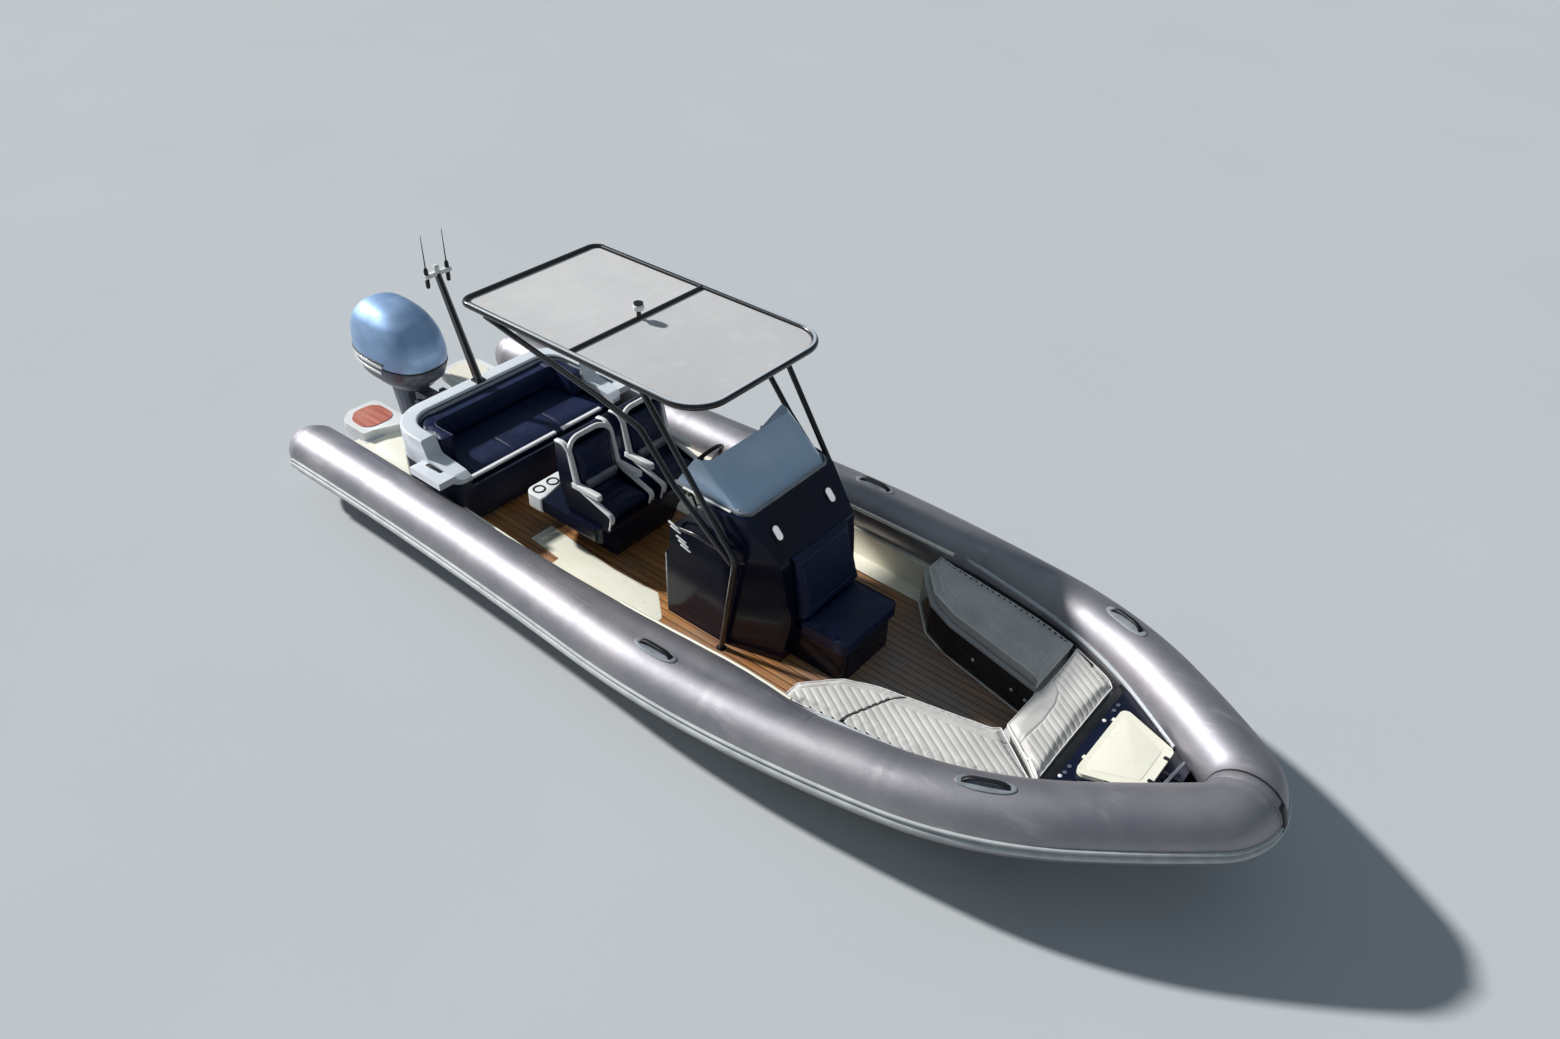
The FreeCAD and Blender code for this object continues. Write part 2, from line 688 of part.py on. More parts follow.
def console_body():
    """a side profile narrowed in plan towards its rounded front, with a seat base ahead"""
    aft, foot, half, top = station("console"), CONSOLE_END, size("ConsoleHalf"), size("ConsoleTop")
    profile = [(aft + 30, DECK), (foot, DECK), (foot + 50, DECK + 380, 40), (foot - 20, top - 300, 90),
               (foot - 285, top - 3, 60), (DASH_HEAD.x, DASH_HEAD.z, 60),
               (DASH_FOOT.x, DASH_FOOT.z, 50), (DASH_FOOT.x - 10, DASH_FOOT.z - 240, 60), (aft, DECK + 540, 30)]
    plan = [(aft - 20, -half, 60), (foot - 420, -half, 200), (foot + 60, -half + 130, 110),
            (foot + 60, half - 130, 110), (foot - 420, half, 200), (aft - 20, half, 60)]
    body = side_prism(profile, -half - 10, half + 10).common(prism(plan, DECK, top + 60))
    narrow = size("FrontSeatHalf") - 40
    end = foot + size("FrontSeatDepth") + 20
    base = prism([(foot - 40, -narrow), (end, -narrow, 60), (end, narrow, 60), (foot - 40, narrow)],
                 DECK, size("FrontSeatTop") - size("CushionThick") - CLEAR)
    return fuse(body, base)


CONSOLE = console_body()
WHEEL_AXIS = Vector(-math.cos(math.radians(size("WheelTilt"))), 0, math.sin(math.radians(size("WheelTilt"))))
WHEEL_FOOT = DASH_HEAD + DASH_DOWN * (0.808 * (DASH_FOOT - DASH_HEAD).Length)
WHEEL_AT = WHEEL_FOOT + WHEEL_AXIS * size("ColumnLength")


def on_dash(shape, down, across):
    """place a shape drawn with x down the dash, y across and z out of it"""
    shape.Placement = Placement(DASH_HEAD + DASH_DOWN * down + Vector(0, across, 0) + DASH_OUT * CLEAR,
                                Rotation(DASH_DOWN, Vector(0, 0, 0), DASH_OUT, "XZY"))
    return shape


def dash_controls():
    """two chart plotters and the throttle lever on the dash"""
    plotters = [on_dash(Part.makeBox(230, 300, 14, Vector(0, -150, 0)), 60, side * 250) for side in (-1, 1)]
    lever = fuse(Part.makeBox(110, 60, 26, Vector(0, -30, 0)), rod(Vector(55, 0, 20), Vector(25, 0, 120), 9),
                 Part.makeCylinder(16, 50, Vector(25, -25, 120), Vector(0, 1, 0)))
    return plotters + [on_dash(lever, 320, -330)]


def steering_column():
    """the column that stands out of the dash"""
    return rod(WHEEL_FOOT - WHEEL_AXIS * 40, WHEEL_AT - WHEEL_AXIS * 36, size("ColumnRadius"))


def steering_wheel():
    """a rim of eight flats, three spokes and a boss, square to the wheel's axis"""
    radius, grip = size("WheelRadius"), size("WheelGrip")
    corners = [Vector(radius + grip * math.cos(math.radians(a)), 0, grip * math.sin(math.radians(a)))
               for a in range(22, 382, 45)]
    rim = Part.Face(Part.makePolygon(corners + corners[:1])).revolve(Vector(0, 0, 0), Vector(0, 0, 1), 360)
    pieces = [rim, Part.makeCylinder(42, 30, Vector(0, 0, -34))]
    for turn in (90, 210, 330):
        spoke = side_prism([(0, -28), (radius, -6), (radius, 6), (0, -12)], -13, 13)
        spoke.rotate(Vector(0, 0, 0), Vector(0, 0, 1), turn)
        pieces.append(spoke)
    wheel = fuse(*pieces)
    wheel.Placement = Placement(WHEEL_AT, Rotation(Vector(0, 0, 1), WHEEL_AXIS))
    return wheel


def front_seat():
    """cushion and backrest on the front of the console"""
    half, top = size("FrontSeatHalf"), size("FrontSeatTop")
    start, end = CONSOLE_END + 62, CONSOLE_END + 62 + size("FrontSeatDepth")
    cushion = prism([(start, -half, 40), (end, -half, 70), (end, half, 70), (start, half, 40)],
                    top - size("CushionThick"), top)
    rise, narrow = top + size("FrontBackHeight"), size("FrontBackHalf")
    back = side_prism([(CONSOLE_END + 40, top + 2), (CONSOLE_END + 150, top + 2, 40), (CONSOLE_END + 8, rise, 40),
                       (CONSOLE_END - 90, rise)], -narrow, narrow)
    room = CONSOLE.copy()
    room.translate(Vector(CLEAR, 0, 0))
    return cushion.cut(room), largest(back.cut(room))


def screen_band(z, front, width, aft):
    """a thin U of screen in plan at one height, as a closed wire"""
    thick, cut, bend = size("ScreenThick"), 50, 40

    def half_loop(w, f, r):
        return [(aft, -w), (f - cut, -w, r), (f, -w + cut, r)], [(f, w - cut, r), (f - cut, w, r), (aft, w)]

    right, left = half_loop(width, front, bend)
    right_in, left_in = half_loop(width - thick, front - thick, bend - thick)
    return loop_xy(right + left + left_in[::-1] + right_in[::-1], z)


def windscreen():
    """a raked wrap-round screen that stands on the console"""
    front, top = CONSOLE_END - size("ScreenSetback"), size("ConsoleTop")
    rake = size("ScreenRake")
    half = size("ScreenHalf")
    bands = [screen_band(top - 12, front, half, front - 640),
             screen_band(top + size("ScreenHeight"), front - rake, half, front - rake - 100)]
    return largest(Part.makeLoft(bands, True, True).cut(CONSOLE))


def docking_lights():
    """two round lamps let into the shoulders of the console's front"""
    lamps = []
    for side in (-1, 1):
        face = Vector(CONSOLE_END - 20 - (size("LampHeight") - size("ConsoleTop") + 300) * 265 / 297,
                      side * size("LampHalf"), size("LampHeight"))
        out = Vector(297, 0, 265).normalize()
        lamp = Part.makeCylinder(size("LampRadius"), 60, face - out * 45, out).cut(CONSOLE)
        lamps.append(max(lamp.Solids, key=lambda solid: solid.CenterOfMass.x))
    return lamps


# T-top

TOP_Z = size("TopHeight") - size("TopTube")
TOP_BAR = station("top") + 0.49 * size("TopLength")


def top_frame(gap):
    """the rim and its cross bar, or the room they take with a gap round them"""
    tube = size("TopTube")
    aft, half = station("top") + tube, size("TopHalf") - tube
    front = aft + size("TopLength") - 2 * tube
    path = loop_xy([(aft, -half + 14, 85), (front, -half, 245), (front, half, 245), (aft, half - 14, 85)], TOP_Z)
    first = path.OrderedEdges[0]
    circle = Part.makeCircle(tube + gap, first.valueAt(first.FirstParameter), first.tangentAt(first.FirstParameter))
    rim = path.makePipe(Part.Face(Part.Wire([circle])))
    return fuse(rim, rod(Vector(TOP_BAR, -half, TOP_Z), Vector(TOP_BAR, half, TOP_Z), tube - 3 + gap))


RIM = top_frame(0)
RIM_ROOM = top_frame(CLEAR)


def canvas(start, end, aft_round, front_round):
    """one stretched panel between the rim and the bar"""
    half, thick = size("TopHalf") - size("TopTube"), size("CanvasThick")
    panel = prism([(start, -half, aft_round), (end, -half, front_round), (end, half, front_round),
                   (start, half, aft_round)], TOP_Z - thick / 2, TOP_Z + thick / 2)
    return largest(panel.cut(RIM_ROOM))


def side_frame():
    """the port legs: one up to the front of the top, one that turns aft under it"""
    foot_x = station("legs")

    def leg_point(ahead, out, share):
        return Vector(foot_x + ahead, out, DECK + share * (TOP_Z - DECK))

    foot = leg_point(0, 562, 0)
    front_leg = [foot, leg_point(135, 580, 0.45), leg_point(-610, 640, 0.985)]
    rail = [leg_point(105, 579, 0.43), leg_point(-370, 612, 0.65), leg_point(-660, 620, 0.82),
            leg_point(-1050, 622, 0.868), leg_point(-2110, 650, 0.985)]
    flange = Part.makeCylinder(36, 8, foot)
    frame = fuse(bent_tube(front_leg, size("FrameTube"), 150), bent_tube(rail, size("FrameTube"), 120), flange)
    above = block((foot.x - 3000, foot.x + 500), (0, 2 * size("TubeSpread")), (DECK, 2 * TOP_Z))
    return largest(frame.common(above).cut(RIM).cut(CONSOLE))


def anchor_lamp():
    """the all-round white light on the cross bar"""
    stem = rod(Vector(TOP_BAR, 0, TOP_Z + 15), Vector(TOP_BAR, 0, TOP_Z + 85), 16)
    head = rod(Vector(TOP_BAR, 0, TOP_Z + 85), Vector(TOP_BAR, 0, TOP_Z + 125), 34)
    return fuse(stem, head).cut(top_frame(0.1))


# Bow

def footwell(gap):
    """plan of the footwell between the bow seats, grown by a gap, open aft"""
    length = size("HullLength")
    side = [((FOOTWELL[0][0] - 0.03) * length + gap, 1.7 * FOOTWELL[0][1]),
            ((FOOTWELL[0][0] - 0.008) * length + gap, 1.7 * FOOTWELL[0][1])]
    side += [(share * length + gap, half + gap, corner) for share, half, corner in FOOTWELL]
    return side + [(x, -y, *corner) for x, y, *corner in reversed(side)]


def bow_seat_base():
    """the moulded seats round the footwell"""
    top, end = size("BowSeatTop"), station("bow_seat_end") - CLEAR
    base = inside_liner(DECK, top, station("bow_seat") - 100, station("cockpit_end"))
    base = base.cut(prism(footwell(0), 0, top + 100))
    step = inside_liner(size("BowStep"), top, station("cockpit_end") - 1, end)
    return largest(clear_of_tubes(fuse(base, step)))


def bow_cushions():
    """a long cushion on each side and one across the front, parted by sewn gaps"""
    low = size("BowSeatTop") + CLEAR
    high = low + size("CushionThick") - 5
    wide = 1.2 * size("TubeSpread")
    aft, end = station("bow_seat") + 30, station("bow_seat_end") - 10
    joint = FOOTWELL[-1][0] * size("HullLength") + 4
    whole = inside_tubes(size("TubeRadius") + 14, low, high).cut(prism(footwell(4), 0, 2 * high))
    # the port joint runs athwart; the starboard one runs forward and outwards to the front edge
    corner, gap, slope = FOOTWELL[-1][1], 8, 0.665
    port_x, port_y, board_y = joint + 14, 0.7 * corner, -0.87 * corner
    far_y = board_y - slope * (end - joint)
    port = prism([(aft, port_y), (port_x, port_y), (port_x, wide), (aft, wide)], low, high)
    board = prism([(aft, board_y), (joint, board_y), (end, far_y), (end, -wide), (aft, -wide)], low, high)
    front = prism([(joint - gap, board_y + gap), (joint - gap, port_y - gap), (port_x + gap, port_y - gap),
                   (port_x + gap, wide), (end, wide), (end, far_y + 1.2 * gap), (joint, board_y + 1.2 * gap)], low, high)
    return tuple(largest(whole.common(area)) for area in (port, board, front))


def lid_plan(gap):
    """the locker lid in plan, or the opening under it when the gap is negative"""
    aft, front = station("lid") - gap, station("lid") + size("LidLength") + gap
    wide, narrow = size("LidHalfAft") + gap, size("LidHalfFront") + gap
    return [(aft, -wide, 45), (front, -narrow, 45), (front, narrow, 45), (aft, wide, 45)]


HINGE = Vector(station("lid") - size("HingeRadius") - 3, 0, size("BowDeckTop") + 1.5 * size("HingeRadius"))


def hinge_barrels(starts, ahead):
    """barrels of the lid's hinges with the web that ties each to its panel"""
    radius, long = size("HingeRadius"), size("HingeLength") / 2
    pieces = []
    for start in starts:
        pieces.append(Part.makeCylinder(radius, long - CLEAR, Vector(HINGE.x, start, HINGE.z), Vector(0, 1, 0)))
        if ahead:
            pieces.append(block((HINGE.x, HINGE.x + radius + 20), (start, start + long - CLEAR),
                                (HINGE.z + 2, HINGE.z + radius)))
        else:
            pieces.append(block((HINGE.x - radius, HINGE.x), (start, start + long - CLEAR),
                                (size("BowDeckTop") - 2, HINGE.z)))
    return pieces


def bow_deck():
    """the deck ahead of the seats with the anchor locker and the fixed half of its hinges"""
    deck = inside_tubes(size("TubeRadius") - 60, size("BowSill"), size("BowDeckTop"))
    wide = size("TubeSpread")
    deck = deck.common(block((station("bow_seat_end"), station("bow_deck_end")), (-wide, wide), (0, wide)))
    deck = deck.cut(prism(lid_plan(-size("LidRim")), size("BowDeckTop") - size("LockerDepth"), wide))
    barrels = hinge_barrels([side * 200 - size("HingeLength") / 2 for side in (-1, 1)], False)
    pins = [rod(Vector(HINGE.x, side * 200 - size("HingeLength") / 2 + 1, HINGE.z),
                Vector(HINGE.x, side * 200 + size("HingeLength") / 2 - 4, HINGE.z), size("HingePin"))
            for side in (-1, 1)]
    return largest(fuse(clear_of_tubes(deck), *barrels, *pins))


def locker_lid():
    """the lid with the moving half of its hinges, bored for the pins"""
    low = size("BowDeckTop") + CLEAR
    lid = prism(lid_plan(0), low, low + size("LidThick"))
    lid = fuse(lid, *hinge_barrels([side * 200 for side in (-1, 1)], True))
    for side in (-1, 1):
        lid = lid.cut(rod(Vector(HINGE.x, side * 200 - 1, HINGE.z),
                          Vector(HINGE.x, side * 200 + size("HingeLength") / 2 + 1, HINGE.z),
                          size("HingePin") + 0.06))
    return lid


def bow_cleat():
    """a two-horned cleat ahead of the lid"""
    x, low = station("bow_deck_end") - 60, size("BowDeckTop") + CLEAR
    posts = [Part.makeCylinder(9, 30, Vector(x + step, 0, low)) for step in (-25, 25)]
    return fuse(*posts, rod(Vector(x - 55, 0, low + 34), Vector(x + 55, 0, low + 34), 10))


def eye(point, aim):
    """a plate lug with a bore across the boat, standing out of a face along aim"""
    lug, bore, reach = size("EyePlate"), size("EyeBore"), size("EyeReach")
    tip = point + aim * reach
    plate = block((-reach, reach), (-lug / 2, lug / 2), (-bore - 11, bore + 11))
    plate.Placement = Placement(point, Rotation(aim, Vector(0, 1, 0), Vector(0, 0, 0), "XYZ"))
    ring = Part.makeCylinder(bore + 11, lug, tip - Vector(0, lug / 2, 0), Vector(0, 1, 0))
    return fuse(ring, plate).cut(Part.makeCylinder(bore, 2 * lug, tip - Vector(0, lug, 0), Vector(0, 1, 0)))


def towing_eyes(body):
    """one eye low on the stem and two on the transom"""
    deep, long = size("KeelDepth"), size("HullLength")
    foot, head = (Vector(s[0] * long, 0, s[1] * deep) for s in HULL_SECTIONS[-2:])
    up = (head - foot).normalize()
    stem = foot + up * (0.08 * (head - foot).Length)
    eyes = [eye(stem, Vector(up.z, 0, -up.x))]
    eyes += [eye(Vector(-CLEAR, side * 0.9 * size("ChineHalf"), 0.17 * deep), Vector(-1, 0, 0)) for side in (-1, 1)]
    return [largest(item.cut(body).common(block((-200, 2 * long), (-2000, 2000), (-1000, 1000)))) for item in eyes]


# Outboard

TILT = Vector(size("TiltAhead"), 0, size("TiltHeight"))
STEER_X = -size("SteerBack")
PLATE_Z = -size("PlateDrop")
PROP_Z = -size("PropDrop")


def oval(fore, aft, half, z, power=2.6):
    """a closed rounded outline of a cover or a leg at height z"""
    points = []
    for i in range(16):
        a = 2 * math.pi * i / 16
        c, s = math.cos(a), math.sin(a)
        points.append(Vector((fore + aft) / 2 + (fore - aft) / 2 * math.copysign(abs(c) ** (2 / power), c),
                             half * math.copysign(abs(s) ** (2 / power), s), z))
    return Part.makePolygon(points + points[:1])


def cowl():
    """the upper cover, a stack of rounded outlines"""
    low, long = size("SkirtBottom") + size("SkirtHeight") + CLEAR, size("CowlHalfLength")
    wires = [oval(fore * long - size("CowlBack"), aft * long - size("CowlBack"), wide * size("CowlHalfWidth"),
                  low + height * size("CowlHeight")) for height, fore, aft, wide in COWL_SECTIONS]
    return Part.makeLoft(wires, True, True)


def skirt():
    """the lower cover round the powerhead's base"""
    long, wide, back, low = size("CowlHalfLength"), size("CowlHalfWidth"), size("CowlBack"), size("SkirtBottom")
    # share of the skirt's height, of the cover's length and of its width
    wires = [oval(share * long - back, -share * long - back, across * wide, low + height * size("SkirtHeight"))
             for height, share, across in ((0, 0.68, 0.66), (0.4, 0.87, 0.89), (1, 0.97, 0.97))]
    return Part.makeLoft(wires, True, True)


def midsection():
    """the leg from the covers down to the gearcase, with its two yokes"""
    top = size("SkirtBottom")
    # height, forward edge, aft edge, half-width
    wires = [oval(fore, aft, half, z, 2.3) for z, fore, aft, half in
             ((PLATE_Z + 60, -215, -480, 70), (0.3 * top, -212, -500, 95), (top - CLEAR, -205, -560, 130))]
    pieces = [Part.makeLoft(wires, True, True)]
    for z in (TILT.z + 44, 18):
        pieces.append(prism([(STEER_X + 55, -60, 50), (STEER_X - 110, -60), (STEER_X - 110, 60),
                             (STEER_X + 55, 60, 50)], z, z + 34))
    return largest(fuse(*pieces))


def gearcase():
    """strut, anti-ventilation plate, torpedo and skeg"""
    strut = Part.makeLoft([oval(-215, -485, 66, PLATE_Z + 60 - CLEAR, 2.0), oval(-185, -535, 42, PLATE_Z, 2.0),
                           oval(-185, -515, 34, PROP_Z, 2.0)], True, True)
    plate = prism([(-150, 0, 60), (-200, 95, 80), (-420, 140, 60), (-700, 130, 40), (-700, -130, 40),
                   (-420, -140, 60), (-200, -95, 80)], PLATE_Z - 5, PLATE_Z + 5)
    bullet = 1.2 * size("HubRadius")
    profile = Part.Wire([
        Part.Arc(Vector(-110, 0, PROP_Z), Vector(-140, 0, PROP_Z + 0.64 * bullet), Vector(-230, 0, PROP_Z + bullet)).toShape(),
        Part.makeLine(Vector(-230, 0, PROP_Z + bullet), Vector(-450, 0, PROP_Z + bullet)),
        Part.makeLine(Vector(-450, 0, PROP_Z + bullet), Vector(-575, 0, PROP_Z + size("HubRadius"))),
        Part.makeLine(Vector(-575, 0, PROP_Z + size("HubRadius")), Vector(-575, 0, PROP_Z)),
        Part.makeLine(Vector(-575, 0, PROP_Z), Vector(-110, 0, PROP_Z))])
    torpedo = Part.Face(profile).revolve(Vector(0, 0, PROP_Z), Vector(1, 0, 0), 360)
    low = -size("SkegDrop")
    skeg = side_prism([(-260, PROP_Z), (-500, PROP_Z), (-470, low, 30), (-370, low, 20)], -7, 7)
    return fuse(strut, plate, torpedo, skeg)


def propeller():
    """three swept blades on a hub"""
    hub, tip = size("HubRadius"), size("PropRadius")
    pieces = [Part.makeCone(hub, hub - 9, size("HubLength"), Vector(-575 - CLEAR, 0, PROP_Z), Vector(-1, 0, 0))]
    # radius, chord, half thickness, pitch angle from the disc, sweep along the chord
    stations = [(hub - 10, 104, 7, 52, 0), (0.62 * tip, 160, 4.5, 34, 12), (0.93 * tip, 100, 2.5, 25, 36),
                (tip, 44, 1.5, 22, 56)]
    for turn in (0, 120, 240):
        wires = []
        for radius, chord, thick, pitch, sweep in stations:
            a = math.radians(pitch)
            along, out = Vector(-math.sin(a), math.cos(a), 0), Vector(math.cos(a), math.sin(a), 0)
            base = Vector(-575 - 0.5 * size("HubLength"), 0, radius) + along * sweep
            wires.append(Part.makePolygon([base + along * chord / 2, base + out * thick, base - along * chord / 2,
                                           base - out * thick, base + along * chord / 2]))
        blade = Part.makeLoft(wires, True, True)
        blade.rotate(Vector(0, 0, 0), Vector(1, 0, 0), turn)
        blade.translate(Vector(0, 0, PROP_Z))
        pieces.append(blade)
    return fuse(*pieces)


def clamp():
    """two side plates that hook over the transom, and the tilt tube between them"""
    top, thick = size("TransomHeight") + CLEAR, size("TransomThick") + CLEAR
    plates = []
    for side in (-1, 1):
        hook = [(-95, 70, 30), (-CLEAR, 70), (-CLEAR, top), (thick, top), (thick, top - 80), (thick + 16, top - 80),
                (thick + 16, TILT.z + 30, 30), (-70, TILT.z + 30, 40), (-95, top - 30, 30)]
        plates.append(side_prism(hook, side * 130 - 18, side * 130 + 18))
    return fuse(*plates, rod(TILT - Vector(0, 162, 0), TILT + Vector(0, 162, 0), size("TiltTube")))


def swivel():
    """the barrel on the tilt tube and the column that carries the steering pin"""
    barrel = rod(TILT - Vector(0, 104, 0), TILT + Vector(0, 104, 0), 2 * size("TiltTube") + 2)
    arm = side_prism([(TILT.x + 20, TILT.z - 30), (TILT.x + 20, TILT.z + 34), (STEER_X - 30, TILT.z + 34),
                      (STEER_X - 30, TILT.z - 60), (STEER_X + 20, TILT.z - 90)], -64, 64)
    arm = arm.cut(block((-3, 200), (-200, 200), (0, size("TransomHeight") + 40)))
    column = rod(Vector(STEER_X, 0, 60), Vector(STEER_X, 0, TILT.z + 38), 46)
    bore = rod(TILT - Vector(0, 200, 0), TILT + Vector(0, 200, 0), size("TiltTube") + 0.1)
    return fuse(barrel, arm, column).cut(bore)


HULL = hull()
CUSHIONS = bow_cushions()
SEATS = [helm_seat(side) for side in (-1, 1)]
SEAT_CUSHION, SEAT_BACK = front_seat()
TOP_AFT, TOP_FRONT = station("top") + 30, station("top") + size("TopLength") - 30
HANDLES = [handle(name) for name in ("handle_aft", "handle_fore")]

node("hull", HULL)
node("deck_liner", liner())
node("tube_port", TUBE)
node("tube_starboard", mirrored(TUBE))
node("strake_port", strake())
node("strake_starboard", mirrored(strake()))
node("grab_handles", *HANDLES, *[mirrored(item) for item in HANDLES])
node("aft_deck", aft_deck())
node("swim_platform_port", platform())
node("swim_platform_starboard", mirrored(platform()))
node("platform_pads", platform_pad(), mirrored(platform_pad()))
node("bench_shell", bench_shell())
node("bench_seat", bench_seat())
node("bench_back", bench_back())
node("mast", mast())
node("helm_pod", pod())
node("helm_shells", *[shell for shell, _ in SEATS])
node("helm_cushions", *[cushion for _, cushion in SEATS])
node("console", fuse(CONSOLE, steering_column()))
node("front_seat", SEAT_CUSHION)
node("front_backrest", SEAT_BACK)
node("windscreen", windscreen())
node("dash_controls", *dash_controls())
node("docking_lights", *docking_lights())
node("steering_wheel", steering_wheel())
node("ttop_rim", RIM)
node("ttop_canvas", canvas(TOP_AFT, TOP_BAR, 90, 0), canvas(TOP_BAR, TOP_FRONT, 0, 245))
node("ttop_frame_port", side_frame())
node("ttop_frame_starboard", mirrored(side_frame()))
node("anchor_lamp", anchor_lamp())
node("bow_seat_base", bow_seat_base())
node("bow_cushion_port", CUSHIONS[0])
node("bow_cushion_starboard", CUSHIONS[1])
node("bow_cushion_forward", CUSHIONS[2])
node("bow_deck", bow_deck())
node("locker_lid", locker_lid())
node("bow_cleat", bow_cleat())
node("towing_eyes", *towing_eyes(HULL))
node("clamp_bracket", clamp())
node("swivel_bracket", swivel())
node("cowl", cowl())
node("cowl_skirt", skirt())
node("midsection", midsection())
node("gearcase", gearcase())
node("propeller", propeller())

doc.recompute()
for item in doc.Objects:
    if "Invalid" in item.State or "Error" in item.State:
        raise RuntimeError("%s did not recompute" % item.Label)
for item in NODES:
    if item.Shape.isNull() or not item.Shape.isValid():
        raise RuntimeError("%s has no valid shape" % item.Label)

os.makedirs("parts", exist_ok=True)
for item in NODES:
    item.Shape.exportStep("parts/%s.step" % item.Label)
print(len(NODES), "sub-parts written")
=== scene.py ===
import math

import bmesh
import bpy
import numpy as np
from mathutils import Matrix, Vector
from mathutils.bvhtree import BVHTree


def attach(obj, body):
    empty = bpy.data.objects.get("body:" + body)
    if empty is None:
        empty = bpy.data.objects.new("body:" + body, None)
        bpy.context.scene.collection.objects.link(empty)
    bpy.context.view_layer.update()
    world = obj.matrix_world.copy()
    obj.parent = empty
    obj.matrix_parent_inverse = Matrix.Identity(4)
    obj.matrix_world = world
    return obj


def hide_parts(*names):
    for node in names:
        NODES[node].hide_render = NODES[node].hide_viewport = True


# Rigid inflatable boat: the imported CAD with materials, and the soft, fine and trimmed pieces
# that the solids leave out. Metres; +X to the bow, +Y to port, the floor is at the waterline.

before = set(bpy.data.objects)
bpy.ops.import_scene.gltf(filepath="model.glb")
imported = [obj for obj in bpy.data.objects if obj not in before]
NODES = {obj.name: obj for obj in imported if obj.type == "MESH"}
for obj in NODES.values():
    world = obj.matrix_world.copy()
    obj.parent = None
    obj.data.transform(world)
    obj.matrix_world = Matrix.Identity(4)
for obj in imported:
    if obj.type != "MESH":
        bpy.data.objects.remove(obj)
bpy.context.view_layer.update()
UP = np.array([0.0, 0.0, 1.0])
LEVEL = np.array([1, 1, 0])

# sizes repeated from the part's source
TUBE_RADIUS = 0.228
TUBE_CONE = 0.230
TUBE_POINTS = np.array([
    (7.376, 0.0, 0.742), (7.2617, 0.2367, 0.7312), (6.6303, 0.6873, 0.6655),
    (5.6301, 1.0732, 0.5756), (4.7, 1.1956, 0.52), (3.3, 1.22, 0.4757), (-0.1497, 1.1056, 0.3975)])
STRAKE_SKIN = 0.2283
TOP_Z = 2.189
TOP_BAR = 2.6541
PLANK_PITCH = 0.062


# Materials


def linear(red, green, blue, share=1.0):
    """a share of an sRGB colour from 0 to 255, as the linear values a shader takes"""
    part = np.array([red, green, blue]) / 255
    values = np.where(part <= 0.04045, part / 12.92, ((part + 0.055) / 1.055) ** 2.4)
    return (*(share * values).tolist(), 1.0)


class Finish:
    """one material, its slot, and the short calls that build its nodes"""

    def __init__(self, name, slot, roughness, metallic=0.0, **sockets):
        self.material = bpy.data.materials.new(name)
        self.material.use_nodes = True
        self.tree = self.material.node_tree
        self.shader = self.tree.nodes["Principled BSDF"]
        for socket, value in {"Roughness": roughness, "Metallic": metallic, **sockets}.items():
            self.shader.inputs[socket.replace("_", " ")].default_value = value
        self.place = self.node("TexCoord", "Object")
        self.height = None

    def feed(self, socket, value):
        """give a socket a value or another node's output"""
        if isinstance(value, bpy.types.NodeSocket):
            self.tree.links.new(value, socket)
        else:
            socket.default_value = value

    def node(self, kind, output, *values, **named):
        """a new node's output; values go to its first sockets, and of the named ones those in
        small letters are settings of the node and the others are sockets"""
        node = self.tree.nodes.new("ShaderNode" + kind)
        for name, value in named.items():
            if name.islower():
                setattr(node, name, value)
            else:
                self.feed(node.inputs[name], value)
        for socket, value in zip(node.inputs, values):
            self.feed(socket, value)
        return node.outputs[output]

    def stretched(self, *scale):
        """the object's coordinates stretched"""
        return self.node("Mapping", "Vector", Scale=scale, Vector=self.place)

    def noise(self, scale, detail=3.0, vector=None, rough=0.55):
        """soft random values between 0 and 1"""
        return self.node("TexNoise", "Fac", Scale=scale, Detail=detail, Roughness=rough,
                         Vector=vector or self.place)

    def sum(self, operation, *values):
        """one step of arithmetic"""
        return self.node("Math", 0, *values, operation=operation)

    def axis(self, letter):
        """one coordinate of the object's place"""
        return self.node("SeparateXYZ", letter, self.place)

    def wave(self, letter, rate):
        """the sine of one coordinate times a rate"""
        return self.sum("SINE", self.sum("MULTIPLY", self.axis(letter), rate))

    def span(self, value, low, high, start=0.0, end=1.0):
        """a value carried from one range to another and held at its ends"""
        return self.node("MapRange", 0, value, low, high, start, end)

    def mix(self, share, first, second):
        """a colour between two, each an sRGB tuple or another node's output"""
        node = self.tree.nodes.new("ShaderNodeMix")
        node.data_type = "RGBA"
        for socket, value in zip((0, 6, 7), (share, first, second)):
            self.feed(node.inputs[socket], linear(*value) if isinstance(value, tuple) else value)
        return node.outputs[2]

    def drift(self, dark, light, scale):
        """a colour that drifts between two shades with a slow noise"""
        return self.mix(self.span(self.noise(scale, 4.0), 0.35, 0.65), dark, light)

    def colour(self, value):
        self.feed(self.shader.inputs["Base Color"], value)

    def rough(self, pattern, low, high, start, end):
        """roughness from start to end while a pattern goes from low to high"""
        self.feed(self.shader.inputs["Roughness"], self.span(pattern, low, high, start, end))

    def bump(self, height, depth):
        """raise the surface by a height field, in metres, on top of the bumps before it"""
        before = {"Normal": self.height} if self.height else {}
        self.height = self.node("Bump", "Normal", Distance=depth, Strength=1.0, Height=height,
                                **before)
        self.feed(self.shader.inputs["Normal"], self.height)


